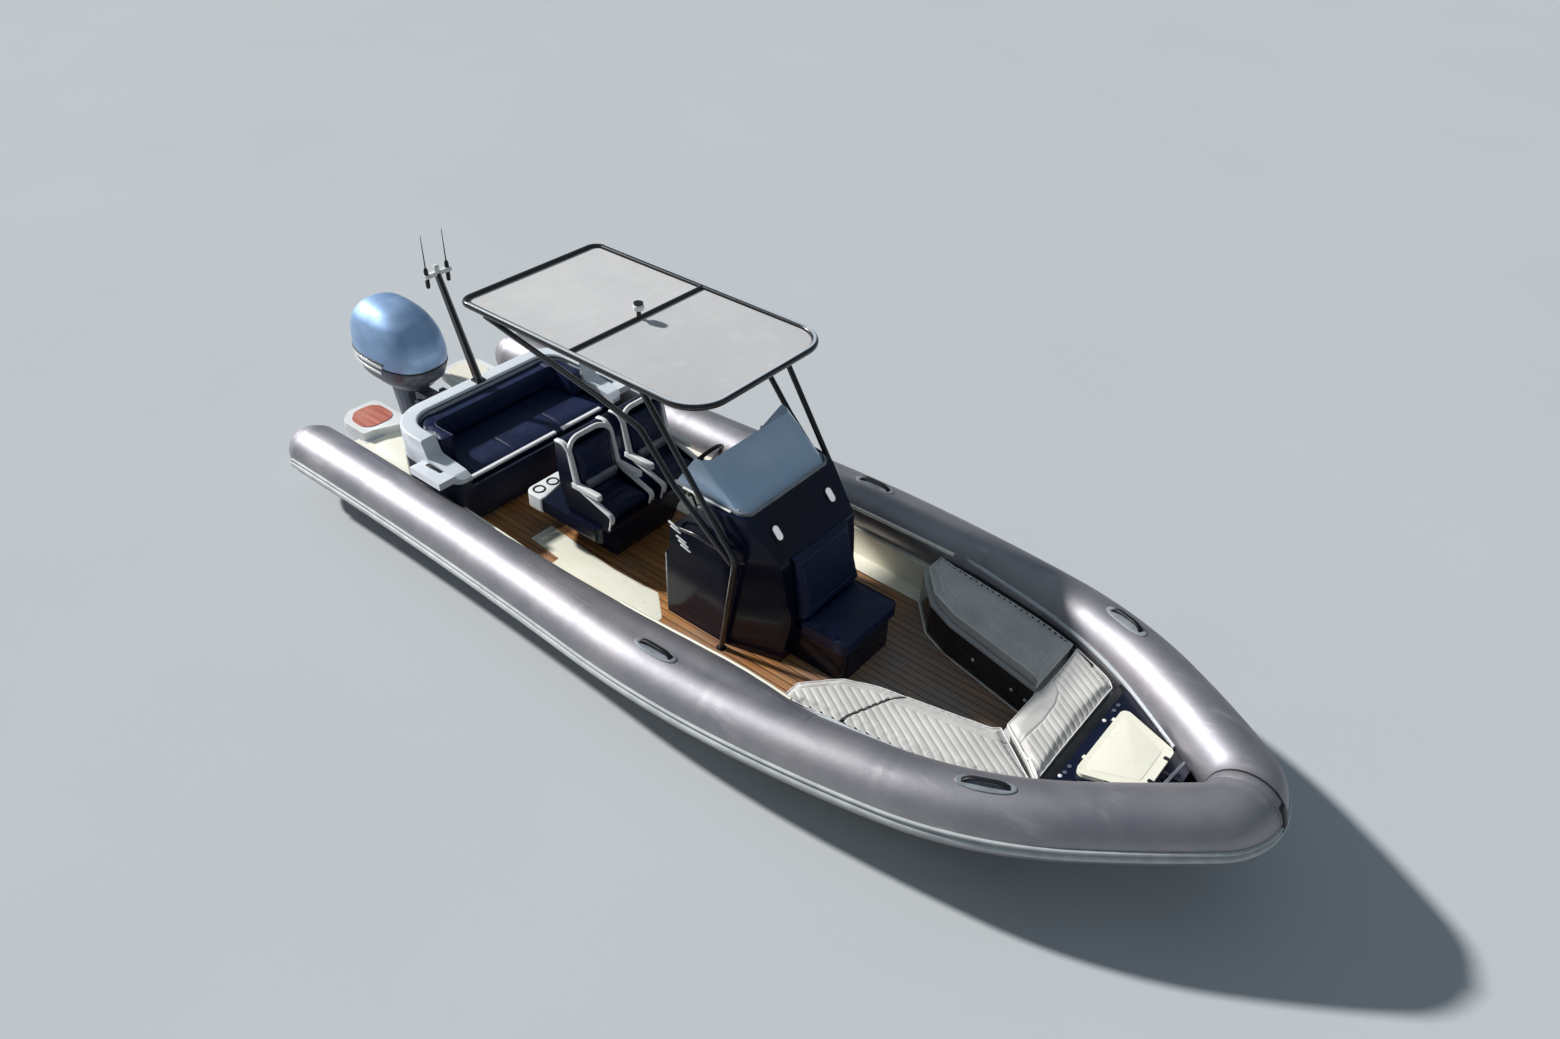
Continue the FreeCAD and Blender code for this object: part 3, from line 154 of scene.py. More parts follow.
def coated_fabric():
    """coated cloth of the tubes with a metallic satin: a slow drift of shade, fine weave, scuffs"""
    f = Finish("coated_fabric", "tube_fabric", 0.6, 0.82)
    scuff = f.span(f.noise(9.0, 8.0, f.stretched(0.3, 1, 1)), 0.60, 0.78)
    f.colour(f.mix(scuff, f.drift((150, 148, 154), (168, 164, 167), 2.2), (184, 180, 182)))
    f.rough(f.noise(5.0, 5.0), 0.3, 0.7, 0.49, 0.57)
    f.bump(f.sum("MULTIPLY", f.wave("X", 3600), f.wave("Z", 3600)), 0.00006)
    f.bump(f.noise(30.0, 2.0), 0.0006)
    return f.material


def rubber(name, slot, dark, light, roughness=0.55):
    """moulded rubber with a fine stipple"""
    f = Finish(name, slot, roughness)
    f.colour(f.drift(dark, light, 7.0))
    f.rough(f.noise(18.0, 4.0), 0.3, 0.7, roughness - 0.07, roughness + 0.07)
    f.bump(f.noise(900.0, 2.0), 0.00015)
    return f.material


def gelcoat(name, slot, dark, light, roughness=0.16, gloss=0.35):
    """polished gelcoat: clear gloss, a hint of orange peel, faint grime"""
    f = Finish(name, slot, roughness, Coat_Weight=gloss, Coat_Roughness=0.06,
               Specular_IOR_Level=min(0.5, gloss + 0.15))
    grime = f.span(f.noise(14.0, 9.0), 0.62, 0.85)
    f.colour(f.mix(grime, f.drift(dark, light, 1.6), (*dark, 0.72)))
    f.rough(f.noise(6.0, 5.0), 0.3, 0.75, roughness, roughness + 0.14)
    f.bump(f.noise(55.0, 1.0), 0.0002)
    return f.material


def vinyl(name, slot, dark, light):
    """marine vinyl: pebbled grain and a soft sheen"""
    f = Finish(name, slot, 0.44, Specular_IOR_Level=0.32)
    f.colour(f.drift(dark, light, 4.0))
    f.rough(f.noise(12.0, 5.0), 0.3, 0.7, 0.38, 0.52)
    pebbles = f.node("TexVoronoi", "Distance", feature="SMOOTH_F1", Scale=520.0, Vector=f.place)
    f.bump(pebbles, 0.0003)
    f.bump(f.noise(40.0, 3.0), 0.0008)
    return f.material


def metal(name, slot, dark, light, roughness, metallic=1.0, brushed=(1, 1, 1), coat=0.0):
    """metal with a drift of tone and fine brushing"""
    f = Finish(name, slot, roughness, metallic, Coat_Weight=coat, Coat_Roughness=0.08)
    f.colour(f.drift(dark, light, 5.0))
    lines = f.noise(160.0, 4.0, f.stretched(*brushed))
    f.rough(lines, 0.3, 0.7, roughness * 0.8, roughness * 1.3)
    f.bump(lines, 0.00008)
    return f.material


def by_height(name, height, below, above):
    """a moulding in two gelcoats that part at one height"""
    f = Finish(name, "gelcoat", 0.18, Coat_Weight=0.35, Coat_Roughness=0.06)
    parted = f.mix(f.span(f.axis("Z"), height - 0.002, height + 0.002), below, above)
    f.colour(f.mix(f.span(f.noise(1.6, 4.0), 0.35, 0.65, 0.0, 0.12), parted, (112, 118, 128)))
    f.rough(f.noise(6.0, 5.0), 0.3, 0.75, 0.14, 0.3)
    f.bump(f.noise(55.0, 1.0), 0.0002)
    return f.material


def planks(name, dark, light, worn, port=None):
    """teak-look decking: long grain, a shade for each plank, worn in places and more towards
    the bow; it may have another colour on the port side"""
    f = Finish(name, "deck_teak", 0.62, Specular_IOR_Level=0.3)
    row = f.sum("FLOOR", f.sum("DIVIDE", f.axis("Y"), PLANK_PITCH))
    tone = f.node("TexWhiteNoise", 0, noise_dimensions="1D", W=row)
    grain = f.noise(26.0, 6.0, f.stretched(0.06, 1, 1), 0.62)
    wood = f.mix(f.span(grain, 0.32, 0.68), dark, light)
    wood = f.mix(f.span(tone, 0.0, 1.0, 0.0, 0.28), wood, dark)
    patches = f.span(f.noise(2.4, 5.0), 0.45, 0.7, 0.0, 0.4)
    wood = f.mix(f.sum("ADD", patches, f.span(f.axis("X"), 4.3, 5.0, 0.0, 0.55)), wood, worn)
    if port:
        wood = f.mix(f.span(f.axis("Y"), -0.001, 0.001), wood, port)
    f.colour(wood)
    f.rough(grain, 0.3, 0.7, 0.5, 0.72)
    f.bump(grain, 0.0005)
    return f.material


def awning():
    """tightly woven awning cloth, greyer towards the bow as painted shade, and dusty in places"""
    f = Finish("awning_cloth", "canvas", 0.8, Specular_IOR_Level=0.25, Sheen_Weight=0.15)
    base = f.drift((204, 201, 199), (214, 211, 208), 1.3)
    # painted shade: the cloth's colour is mixed towards a darker grey from the canopy's aft end to
    # its front
    base = f.mix(f.span(f.axis("X"), 1.8, 3.8, 0.0, 0.7), base, (182, 181, 181))
    f.colour(f.mix(f.span(f.noise(6.0, 8.0), 0.55, 0.8, 0.0, 0.4), base, (222, 218, 212)))
    f.bump(f.sum("MULTIPLY", f.wave("X", 2600), f.wave("Y", 2600)), 0.00012)
    f.bump(f.noise(3.0, 3.0), 0.006)
    return f.material


def tinted():
    """blue-grey acrylic sheet; its tint is made paler as painted reflection of the sky"""
    f = Finish("tinted_acrylic", "tinted_screen", 0.06, Transmission_Weight=0.14, IOR=1.49,
               Coat_Weight=0.3)
    # painted reflection: the pale base colour stands in for the sky the sheet reflects, over its
    # real blue-grey tint
    f.colour(f.drift((186, 214, 240), (206, 228, 248), 2.0))
    f.rough(f.noise(8.0, 6.0), 0.4, 0.8, 0.05, 0.14)
    return f.material


def lens():
    """a ribbed clear lens over a white reflector, with a faint painted glow that keeps it bright in
    shade
    """
    # painted light: Emission_Strength gives the lens a faint white glow
    f = Finish("lamp_lens", "lamp_lens", 0.1, Coat_Weight=0.8, Coat_Roughness=0.03,
               Emission_Strength=0.3)
    rib = f.wave("Y", 900)
    f.colour(f.mix(f.span(rib, -1, 1, 0.0, 0.3), (246, 247, 248), (200, 206, 214)))
    f.bump(rib, 0.0003)
    return f.material


WHITE = gelcoat("white_gelcoat", "gelcoat", (232, 232, 230), (243, 243, 240))
GREY_WHITE = gelcoat("grey_white_gelcoat", "gelcoat", (188, 195, 201), (210, 214, 217))
CREAM = gelcoat("cream_gelcoat", "gelcoat", (246, 241, 220), (254, 250, 232), 0.3)
BLACK_GLOSS = gelcoat("black_gelcoat", "console_dark", (10, 15, 34), (16, 24, 50), 0.14, 0.12)
FABRIC = coated_fabric()
STRAKE = rubber("strake_rubber", "strake_rubber", (176, 179, 178), (200, 202, 200))
# painted shade: this dark finish is used only for the dark lines beside the stem band and in the
# starboard cushion's parting
PAINTED_SHADE = rubber("painted_shade_dark", "strake_rubber", (34, 34, 38), (48, 48, 52))
BLACK = rubber("black_moulding", "black_plastic", (15, 15, 17), (26, 26, 29), 0.4)
RING_GREY = rubber("grey_moulding", "black_plastic", (120, 124, 130), (150, 154, 160), 0.4)
NAVY = vinyl("navy_vinyl", "cushion_dark", (20, 30, 60), (28, 40, 74))
PALE = vinyl("pale_vinyl", "cushion_light", (194, 190, 184), (212, 208, 202))
PIPING = vinyl("pale_piping", "cushion_light", (232, 230, 226), (244, 242, 238))
TEAK = planks("teak_planks", (140, 92, 52), (206, 146, 86), (140, 134, 130))
RED_TEAK = planks("red_teak", (172, 92, 74), (214, 138, 118), (200, 150, 136), (236, 230, 212))
BENCH = by_height("bench_gelcoat", 0.690, (20, 30, 54), (232, 237, 241))
SEAT_BASE = by_height("seat_base_gelcoat", 0.497, (16, 17, 20), (196, 198, 198))
CANVAS = awning()
SCREEN = tinted()
LENS = lens()
POWDER = metal("black_powder_coat", "powder_coat", (14, 14, 16), (24, 24, 27), 0.28, 0.0, coat=0.4)
STEEL = metal("polished_steel", "steel", (196, 198, 202), (222, 224, 228), 0.16,
              brushed=(0.1, 1, 1))
CAST = metal("painted_casting", "engine_metal", (66, 70, 86), (84, 88, 104), 0.34, 0.2, coat=0.3)
SILVER = metal("cover_paint", "engine_cover", (148, 178, 216), (168, 196, 228), 0.55, 0.88,
               coat=0.5)
PROP = metal("propeller_steel", "propeller_steel", (178, 180, 184), (206, 208, 212), 0.22,
             brushed=(1, 0.2, 0.2))


# Mesh tools

def grid(rows, columns, ring_rows=False, ring_columns=False, start=0):
    """quads between neighbouring points of a grid, with either direction joined into a ring"""
    r = np.arange(rows if ring_rows else rows - 1)[:, None]
    c = np.arange(columns if ring_columns else columns - 1)[None, :]
    r2, c2 = (r + 1) % rows, (c + 1) % columns
    quads = [r * columns + c, r2 * columns + c, r2 * columns + c2, r * columns + c2]
    return np.stack(quads, -1).reshape(-1, 4) + start


def capped(rows, columns):
    """quads between rings of points, with a face across each end"""
    last = (rows - 1) * columns
    caps = [list(range(columns)), list(range(last, last + columns))]
    return grid(rows, columns, ring_columns=True).tolist() + caps


def add(name, shape, finish, body="boat", stands_for=(), angle=40.0):
    """make one piece: doubles merged, faces outwards, smooth but for edges sharper than angle"""
    points, faces = shape
    mesh = bpy.data.meshes.new(name)
    mesh.from_pydata(np.asarray(points, float).reshape(-1, 3).tolist(), [],
                     [list(face) for face in faces])
    shell = bmesh.new()
    shell.from_mesh(mesh)
    bmesh.ops.remove_doubles(shell, verts=shell.verts, dist=1e-5)
    bmesh.ops.dissolve_degenerate(shell, edges=shell.edges, dist=1e-6)
    bmesh.ops.recalc_face_normals(shell, faces=shell.faces)
    shell.to_mesh(mesh)
    shell.free()
    mesh.shade_smooth()
    mesh.set_sharp_from_angle(angle=math.radians(angle))
    piece = bpy.data.objects.new(name, mesh)
    bpy.context.scene.collection.objects.link(piece)
    mesh.materials.append(finish)
    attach(piece, body)
    if stands_for:
        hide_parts(*stands_for)
    return piece


def unit(vectors):
    """vectors brought to length one"""
    return vectors / np.maximum(np.linalg.norm(vectors, axis=-1, keepdims=True), 1e-12)


def at_height(flat, z):
    """points of a plan at one height"""
    return np.column_stack([flat, np.full(len(flat), z)])


def turn_points(count):
    """angles of a full turn, evenly spaced"""
    return np.linspace(0, 2 * np.pi, count, endpoint=False)


def circle(radius, count=16):
    """points of a circle"""
    a = turn_points(count)
    return np.stack([radius * np.cos(a), radius * np.sin(a)], -1)


def squarish(a, power):
    """the cosine and sine of a superellipse: each sign(c) |c|^(2 / power)"""
    return (np.sign(c) * np.abs(c) ** (2 / power) for c in (np.cos(a), np.sin(a)))


def rounded(points, steps=6):
    """a closed outline whose corners are arcs; a corner's third number is its radius"""
    pieces = []
    for i, (x, y, *radius) in enumerate(points):
        here = np.array([x, y], float)
        if not radius:
            pieces.append(here[None])
            continue
        back, on = (unit(np.array(points[j][:2]) - here) for j in (i - 1, (i + 1) % len(points)))
        half = np.arccos(np.clip(back @ on, -1, 1)) / 2
        centre = here + unit(back + on) * radius[0] / np.sin(half)
        first, last = (here + way * radius[0] / np.tan(half) for way in (back, on))
        share = np.linspace(0, 1, steps + 1)[:, None]
        arc = unit((1 - share) * (first - centre) + share * (last - centre)) * radius[0]
        pieces.append(centre + arc)
    return np.concatenate(pieces)


def oblong(long, wide, radius, steps=3):
    """a rounded rectangle about the origin"""
    return rounded([(x * long / 2, y * wide / 2, radius)
                    for x, y in ((-1, -1), (1, -1), (1, 1), (-1, 1))], steps)


def bent(points, bend):
    """a path of straight runs whose corners are soft curves: near a corner the path is the
    blend (1 - t)^2 a + 2 t (1 - t) corner + t^2 b"""
    points = np.asarray(points, float)
    pieces = [points[:1]]
    for before, here, after in zip(points, points[1:], points[2:]):
        back, on = before - here, after - here
        reach = min(bend, 0.48 * np.linalg.norm(back), 0.48 * np.linalg.norm(on))
        a, b = here + unit(back) * reach, here + unit(on) * reach
        t = np.linspace(0, 1, 9)[:, None]
        pieces.append((1 - t) ** 2 * a + 2 * t * (1 - t) * here + t ** 2 * b)
    return np.concatenate([*pieces, points[-1:]])


def even(path, step, closed=False):
    """points evenly spaced along a path"""
    path = np.asarray(path, float)
    if closed:
        path = np.concatenate([path, path[:1]])
    run = np.concatenate([[0], np.cumsum(np.linalg.norm(np.diff(path, axis=0), axis=1))])
    at = np.linspace(0, run[-1], max(4, int(run[-1] / step)), endpoint=not closed)
    return np.stack([np.interp(at, run, values) for values in path.T], -1)


def carried(path, profile, up=UP, scale=1.0, closed=False):
    """a closed profile carried along a path: point = path + side x profile_x + rise x profile_y,
    where side = direction cross up; an open path's ends shrink to their middles"""
    path = np.asarray(path, float)
    aim = unit(np.roll(path, -1, 0) - np.roll(path, 1, 0) if closed else np.gradient(path, axis=0))
    side = unit(np.cross(aim, up))
    rise = np.cross(side, aim)
    scale = np.broadcast_to(scale, len(path))
    if not closed:
        path, side, rise = (np.concatenate([v[:1], v, v[-1:]]) for v in (path, side, rise))
        scale = np.concatenate([[0], scale, [0]])
    reach = side[:, None] * profile[None, :, :1] + rise[:, None] * profile[None, :, 1:]
    points = path[:, None] + scale[:, None, None] * reach
    return points.reshape(-1, 3), grid(len(path), len(profile), closed, True)


def joined(shapes):
    """several point and face lists as one"""
    points, faces, start = [], [], 0
    for shape_points, shape_faces in shapes:
        points.append(np.asarray(shape_points).reshape(-1, 3))
        faces += [[int(i) + start for i in face] for face in shape_faces]
        start += len(points[-1])
    return np.concatenate(points), faces


def flipped(shape):
    """the same shape on the other side of the centreline"""
    return np.asarray(shape[0]) * np.array([1, -1, 1]), shape[1]


def both(shape):
    """a shape and its mirror image"""
    return joined([shape, flipped(shape)])


def lathe(profile, count=32, centre=(0, 0, 0)):
    """a profile of radius, height pairs turned round a vertical axis"""
    profile = np.asarray(profile, float)
    a = turn_points(count)[None, :]
    r, h = profile[:, :1], profile[:, 1:]
    points = np.stack([r * np.cos(a), r * np.sin(a), h + 0 * a], -1) + np.array(centre, float)
    return points.reshape(-1, 3), grid(len(profile), count, ring_columns=True)


def plate(outline, low, high, soft=0.003, steps=4):
    """a flat plate from a plan outline: its wall rises to the top and rolls over in a quarter
    circle, inset = soft (1 - cos a), height = high - soft (1 - sin a)"""
    outline = np.asarray(outline, float)
    ahead, behind = np.roll(outline, -1, 0), np.roll(outline, 1, 0)
    along = unit(ahead - behind)
    inward = np.stack([-along[:, 1], along[:, 0]], -1)
    inward *= np.sign(np.sum(outline[:, 0] * ahead[:, 1] - ahead[:, 0] * outline[:, 1]))
    rings = [at_height(outline, low)]
    for a in np.linspace(0, np.pi / 2, steps + 1):
        ring = outline + inward * soft * (1 - np.cos(a))
        rings.append(at_height(ring, high - soft * (1 - np.sin(a))))
    return np.concatenate(rings), capped(len(rings), len(outline))


def turned(shape, place, x_axis=(1, 0, 0), z_axis=(0, 0, 1)):
    """a shape drawn at the origin, set at a place with its x and z along given directions"""
    z = unit(np.array(z_axis, float))
    x = np.array(x_axis, float)
    x = unit(x - z * (x @ z))
    axes = np.stack([x, np.cross(z, x), z])
    return np.asarray(shape[0]) @ axes + np.array(place, float), shape[1]


# CAD nodes that stay: merged and smoothed by modifiers, their meshes untouched

def smoothing_group(limit):
    """geometry nodes: merge the loose triangles, smooth all faces, keep edges above a limit"""
    group = bpy.data.node_groups.new("merge_and_smooth_%d" % limit, "GeometryNodeTree")
    for way in ("INPUT", "OUTPUT"):
        group.interface.new_socket("Geometry", in_out=way, socket_type="NodeSocketGeometry")
    new, link = group.nodes.new, group.links.new
    start, end = new("NodeGroupInput"), new("NodeGroupOutput")
    merge, angle = new("GeometryNodeMergeByDistance"), new("GeometryNodeInputMeshEdgeAngle")
    faces, edges = new("GeometryNodeSetShadeSmooth"), new("GeometryNodeSetShadeSmooth")
    above = new("FunctionNodeCompare")
    merge.inputs["Distance"].default_value = 0.00005
    above.operation = "GREATER_THAN"
    above.inputs["B"].default_value = math.radians(limit)
    faces.domain, edges.domain = "FACE", "EDGE"
    faces.inputs["Shade Smooth"].default_value = True
    edges.inputs["Shade Smooth"].default_value = False
    link(start.outputs[0], merge.inputs["Geometry"])
    link(merge.outputs[0], faces.inputs["Geometry"])
    link(faces.outputs[0], edges.inputs["Geometry"])
    link(angle.outputs["Unsigned Angle"], above.inputs["A"])
    link(above.outputs[0], edges.inputs["Selection"])
    link(edges.outputs[0], end.inputs[0])
    return group


SMOOTHING = smoothing_group(32)


def dress(node, finish, round_edges):
    """give a CAD node its material, smooth shading and softly rounded edges"""
    item = NODES[node]
    item.data.materials.clear()
    item.data.materials.append(finish)
    item.modifiers.new("merge", "NODES").node_group = SMOOTHING
    if round_edges:
        edge = item.modifiers.new("edges", "BEVEL")
        edge.width, edge.segments, edge.limit_method = round_edges, 3, "ANGLE"
        edge.angle_limit = math.radians(38)
        edge.harden_normals = False


for finish, edge, nodes in (
        (GREY_WHITE, 0, "hull"), (CREAM, 0, "deck_liner"), (CREAM, 0.004, "aft_deck"),
        (BENCH, 0, "bench_shell"), (BLACK_GLOSS, 0.008, "helm_pod helm_shells"),
        (BLACK_GLOSS, 0.012, "console"), (BLACK_GLOSS, 0.004, "bow_deck"),
        (POWDER, 0, "mast ttop_rim ttop_frame_port ttop_frame_starboard bow_cleat"),
        (WHITE, 0.006, "swim_platform_port swim_platform_starboard"),
        (RED_TEAK, 0, "platform_pads"), (BLACK, 0, "anchor_lamp"), (BLACK, 0.004, "dash_controls"),
        (SEAT_BASE, 0.006, "bow_seat_base"), (CREAM, 0.005, "locker_lid"),
        (STEEL, 0, "towing_eyes"),
        (CAST, 0.003, "clamp_bracket swivel_bracket"), (CAST, 0.006, "cowl_skirt"),
        (CAST, 0.004, "midsection"), (CAST, 0, "gearcase"), (PROP, 0, "propeller"),
        (LENS, 0, "docking_lights"), (SCREEN, 0, "windscreen")):
    for node in nodes.split():
        dress(node, finish, edge)


# Inflated tubes

def tube_line(step=0.024):
    """points and directions along the port tube's centreline, six arcs each tangent to the one
    before: start + radius (direction sin a + inward (1 - cos a)), sampled evenly"""
    points, aims = [], []
    aim = np.array([0.0, 1.0, 0.0])
    for start, end in zip(TUBE_POINTS, TUBE_POINTS[1:]):
        chord = end - start
        inward = np.cross(unit(np.cross(aim, chord)), aim)
        radius = chord @ chord / (2 * chord @ inward)
        turn = 2 * math.atan2(chord @ inward, chord @ aim)
        a = np.linspace(0, turn, max(10, int(radius * turn / step)))[1 if points else 0:, None]
        points.append(start + radius * (aim * np.sin(a) + inward * (1 - np.cos(a))))
        aims.append(aim * np.cos(a) + inward * np.sin(a))
        aim = aims[-1][-1]
    return np.concatenate(points), np.concatenate(aims)


LINE, AIM = tube_line()
OUT = unit(np.cross(AIM, UP))
RISE = np.cross(OUT, AIM)
LEVEL_OUT = unit(OUT * LEVEL)
ALONG = np.concatenate([[0], np.cumsum(np.linalg.norm(np.diff(LINE, axis=0), axis=1))])
SEAMS = np.array([0.95, 2.1, 3.3, 4.5, 5.7, 6.9, 7.9])


def tube_skin():
    """the port tube: rings of radius R (1 + bulge between seams) + a taped seam 1.6 mm thick;
    past the last arc the radius falls in a cone to 0.86 R and then round a dome to nothing"""
    seam = np.abs(ALONG[:, None] - SEAMS[None, :]).min(1)
    tape = 1 / (1 + np.exp((seam - 0.032) / 0.0022))
    radius = TUBE_RADIUS - 0.0016 + 0.0016 * tape - 0.0022 * np.exp(-(seam / 0.075) ** 2)
    rim, seam_at = 0.86 * TUBE_RADIUS, 0.38 * TUBE_CONE
    reach = np.concatenate([np.linspace(0.02, seam_at, 6), np.linspace(0.40, 1.0, 22) * TUBE_CONE])
    dome = (rim ** 2 + (TUBE_CONE - seam_at) ** 2) / (2 * (TUBE_CONE - seam_at))
    cone = TUBE_RADIUS + (rim - TUBE_RADIUS) * reach / seam_at
    ball = np.sqrt(np.maximum(dome ** 2 - (reach - TUBE_CONE + dome) ** 2, 0))
    bead = 0.0012 * np.exp(-((reach - seam_at) / 0.012) ** 2)
    cap = np.where(reach <= seam_at, cone, ball) + bead
    cap[-1] = 0
    line = np.concatenate([LINE, LINE[-1] + AIM[-1] * reach[:, None]])
    radius = np.concatenate([radius, cap])
    out, rise = (np.concatenate([v, np.repeat(v[-1:], len(reach), 0)]) for v in (OUT, RISE))
    a = turn_points(56)[None, :, None]
    normal = out[:, None] * np.cos(a) + rise[:, None] * np.sin(a)
    points = line[:, None] + radius[:, None, None] * normal
    return points.reshape(-1, 3), grid(len(line), 56, ring_columns=True)


def strake_skin():
    """the rubbing strake: its height above the tube is a strip of 2.5 mm with two smooth ribs,
    each a power of a cosine of the angle, carried round the tube from bow to stern"""
    angle = np.linspace(-9.5, 12.5, 34)
    lift = 0.0025
    for middle, half, power, height in ((-7.0, 2.2, 0.5, 0.012), (5.0, 5.6, 0.42, 0.0195)):
        off = angle - middle
        rib = np.clip(np.cos(off / half * np.pi / 2), 0, 1) ** power * (np.abs(off) < half)
        lift = lift + height * rib
    lift[0] = lift[-1] = 0.0
    a = -np.radians(np.concatenate([angle, angle[::-1]]))[None, :, None]
    skin = STRAKE_SKIN + np.concatenate([lift, np.full(len(angle), -0.003)])[None, :, None]
    points = LINE[:, None] + skin * (OUT[:, None] * np.cos(a) + RISE[:, None] * np.sin(a))
    first, last = (ring.mean(1, keepdims=True).repeat(points.shape[1], 1)
                   for ring in (points[:1], points[-1:]))
    points = np.concatenate([first, points, last])
    return points.reshape(-1, 3), grid(len(points), points.shape[1], ring_columns=True)


for kind, shape, finish, stem in (("tube", tube_skin(), FABRIC, "tube_"),
                                  ("rubbing_strake", strake_skin(), STRAKE, "strake_")):
    add("port_" + kind, shape, finish, stands_for=[stem + "port"])
    add("starboard_" + kind, flipped(shape), finish, stands_for=[stem + "starboard"])


def along_tube(run, *lines):
    """values that belong to the tube's line, read at distances along it"""
    return [np.stack([np.interp(run, ALONG, v[:, i]) for i in range(3)], -1) for v in lines]


def on_skin(run, angle, lift):
    """points on the port tube from distances along it, angles above the horizontal and heights
    above the skin: centre + (out cos a + rise sin a)(R + height)"""
    run, angle, lift = np.broadcast_arrays(run, np.radians(angle), lift)
    centre, out, rise = along_tube(run, LINE, OUT, RISE)
    normal = unit(out * np.cos(angle)[..., None] + rise * np.sin(angle)[..., None])
    return centre + normal * (TUBE_RADIUS + lift)[..., None]


def run_at(x):
    """distance along the port tube where its centreline passes x"""
    return float(ALONG[np.argmin(np.abs(LINE[:, 0] - x))])


def tube_patch(run, angle, length, width, thick):
    """a bonded patch: a superellipse of length x width on the skin, its height rising from the
    rim inwards to its thickness, and a floor just inside the skin"""
    r = np.array([1.0, 1.0, 0.985, 0.95, 0.85, 0.6, 0.3, 0.0])[:, None]
    lift = np.array([-0.003, 0.0, 0.55, 0.85, 1.0, 1.0, 1.0, 1.0])[:, None]
    c, s = squarish(turn_points(48)[None, :], 2.4)
    lift = np.where(lift > 0, lift * thick, lift) + 0 * c
    across = r * s * width / 2
    points = on_skin(run + r * c * length / 2, angle + np.degrees(across / TUBE_RADIUS), lift)
    return points.reshape(-1, 3), capped(len(r), 48)[:-1]


def handle_grip(run):
    """a grab handle's arched grip: height 0.040 (1 - |u|^5) along its length, a rounded
    rectangle for a section that widens towards the feet"""
    u = np.linspace(-1, 1, 41)
    path = on_skin(run + 0.135 * u, 90.0, 0.040 * (1 - np.abs(u) ** 5) - 0.002)
    return carried(path, oblong(0.030, 0.014, 0.006, 6), UP, 1 + 0.5 * np.abs(u) ** 8)


HANDLES = [run_at(3.943), run_at(6.226)]
add("handle_plates", both(joined(tube_patch(run, 90, 0.36, 0.105, 0.007) for run in HANDLES)),
    RING_GREY, stands_for=["grab_handles"])
add("handle_grips", both(joined(handle_grip(run) for run in HANDLES)), BLACK)


def bow_band(middle, half, lift):
    """a band round the tubes where they meet at the stem: a ring about the centreline, raised
    above the skin and with soft edges"""
    a = turn_points(72)[None, :]
    y = middle + half * np.array([-1.0, -0.97, -0.86, 0.86, 0.97, 1.0])[:, None]
    radius = TUBE_RADIUS + lift * np.array([-0.4, 0.7, 1.0, 1.0, 0.7, -0.4])[:, None]
    centre = np.interp(np.abs(y), LINE[:8, 1], LINE[:8, 0])
    points = np.stack([centre + radius * np.cos(a), y + 0 * a, LINE[0, 2] + radius * np.sin(a)], -1)
    return points.reshape(-1, 3), grid(6, 72, ring_columns=True)


add("stem_band", bow_band(0.0, 0.035, 0.005), FABRIC)
# painted shade: a dark ring along the stem band's port edge, where the raised band shades the skin
add("stem_band_shade", bow_band(0.030, 0.008, 0.0075), PAINTED_SHADE)


# Deck

def wall_line(inset):
    """the liner's inner edge on the port side in plan, moved in by an inset: x, y pairs"""
    inner = LINE - OUT * LEVEL * (TUBE_RADIUS + 0.055 + inset)
    return inner[inner[:, 1] > 0.02][::-1, :2]


WALL = wall_line(0.055)
FOOTWELL = np.array([(4.6997, 0.800), (4.9296, 0.540), (5.1503, 0.440), (5.9501, 0.260)])
DECK_START = 1.42


def deck_end(y):
    """how far forward a plank at |y| runs: to the footwell's edge or the liner's wall"""
    y = np.abs(y)
    well = np.interp(y, FOOTWELL[::-1, 1] - 0.015, FOOTWELL[::-1, 0])
    wall = np.minimum(4.69, np.interp(-y, -WALL[:, 1], WALL[:, 0]))
    return np.where(y > 0.785, wall, well) - 0.012


def teak_strips(gap=0.006):
    """planks between the liner's walls: each is a bar whose ends follow the deck's edge"""
    count = int(0.90 / PLANK_PITCH)
    half = (PLANK_PITCH - gap) / 2
    shapes = []
    for middle in np.arange(-count, count + 1) * PLANK_PITCH:
        a, b = middle - half, middle + half
        if max(abs(a), abs(b)) <= 0.88:
            corners = [(DECK_START, a), (deck_end(a), a), (deck_end(b), b), (DECK_START, b)]
            shapes.append(plate(corners, 0.2390, 0.2450, 0.0012, 2))
    return joined(shapes)


def deck_caulk():
    """the black bed that shows between the planks"""
    y = np.linspace(-0.875, 0.875, 90)
    back = np.array([(1.41, 0.875), (1.41, -0.875)])
    outline = np.concatenate([np.column_stack([deck_end(y) + 0.004, y]), back])
    return plate(outline, 0.2388, 0.2432, 0.0005, 1)


SIDE_PANEL = rounded([(1.945, 0.386, 0.01), (2.726, 0.447, 0.05), (3.163, 0.424, 0.05),
                      (3.381, 0.613, 0.04), (3.371, 0.886, 0.02), (2.310, 0.886, 0.02),
                      (2.300, 0.632, 0.01), (1.945, 0.605, 0.01)])
add("teak_strips", teak_strips(), TEAK)
add("deck_caulk", deck_caulk(), BLACK)
add("side_deck_panels", both(plate(SIDE_PANEL, 0.2385, 0.2475)), CREAM)


def bolster_height(run):
    """how far the padding stands off a tube's inner side along it, in metres"""
    stations = [run_at(x) for x in (5.10, 4.90, 4.70, 4.50, 4.30, 4.00, 3.70, 3.40, 2.90, 2.20)]
    heights = [0.0, 0.018, 0.048, 0.070, 0.080, 0.080, 0.071, 0.056, 0.028, 0.0]
    return np.interp(run, stations, heights)


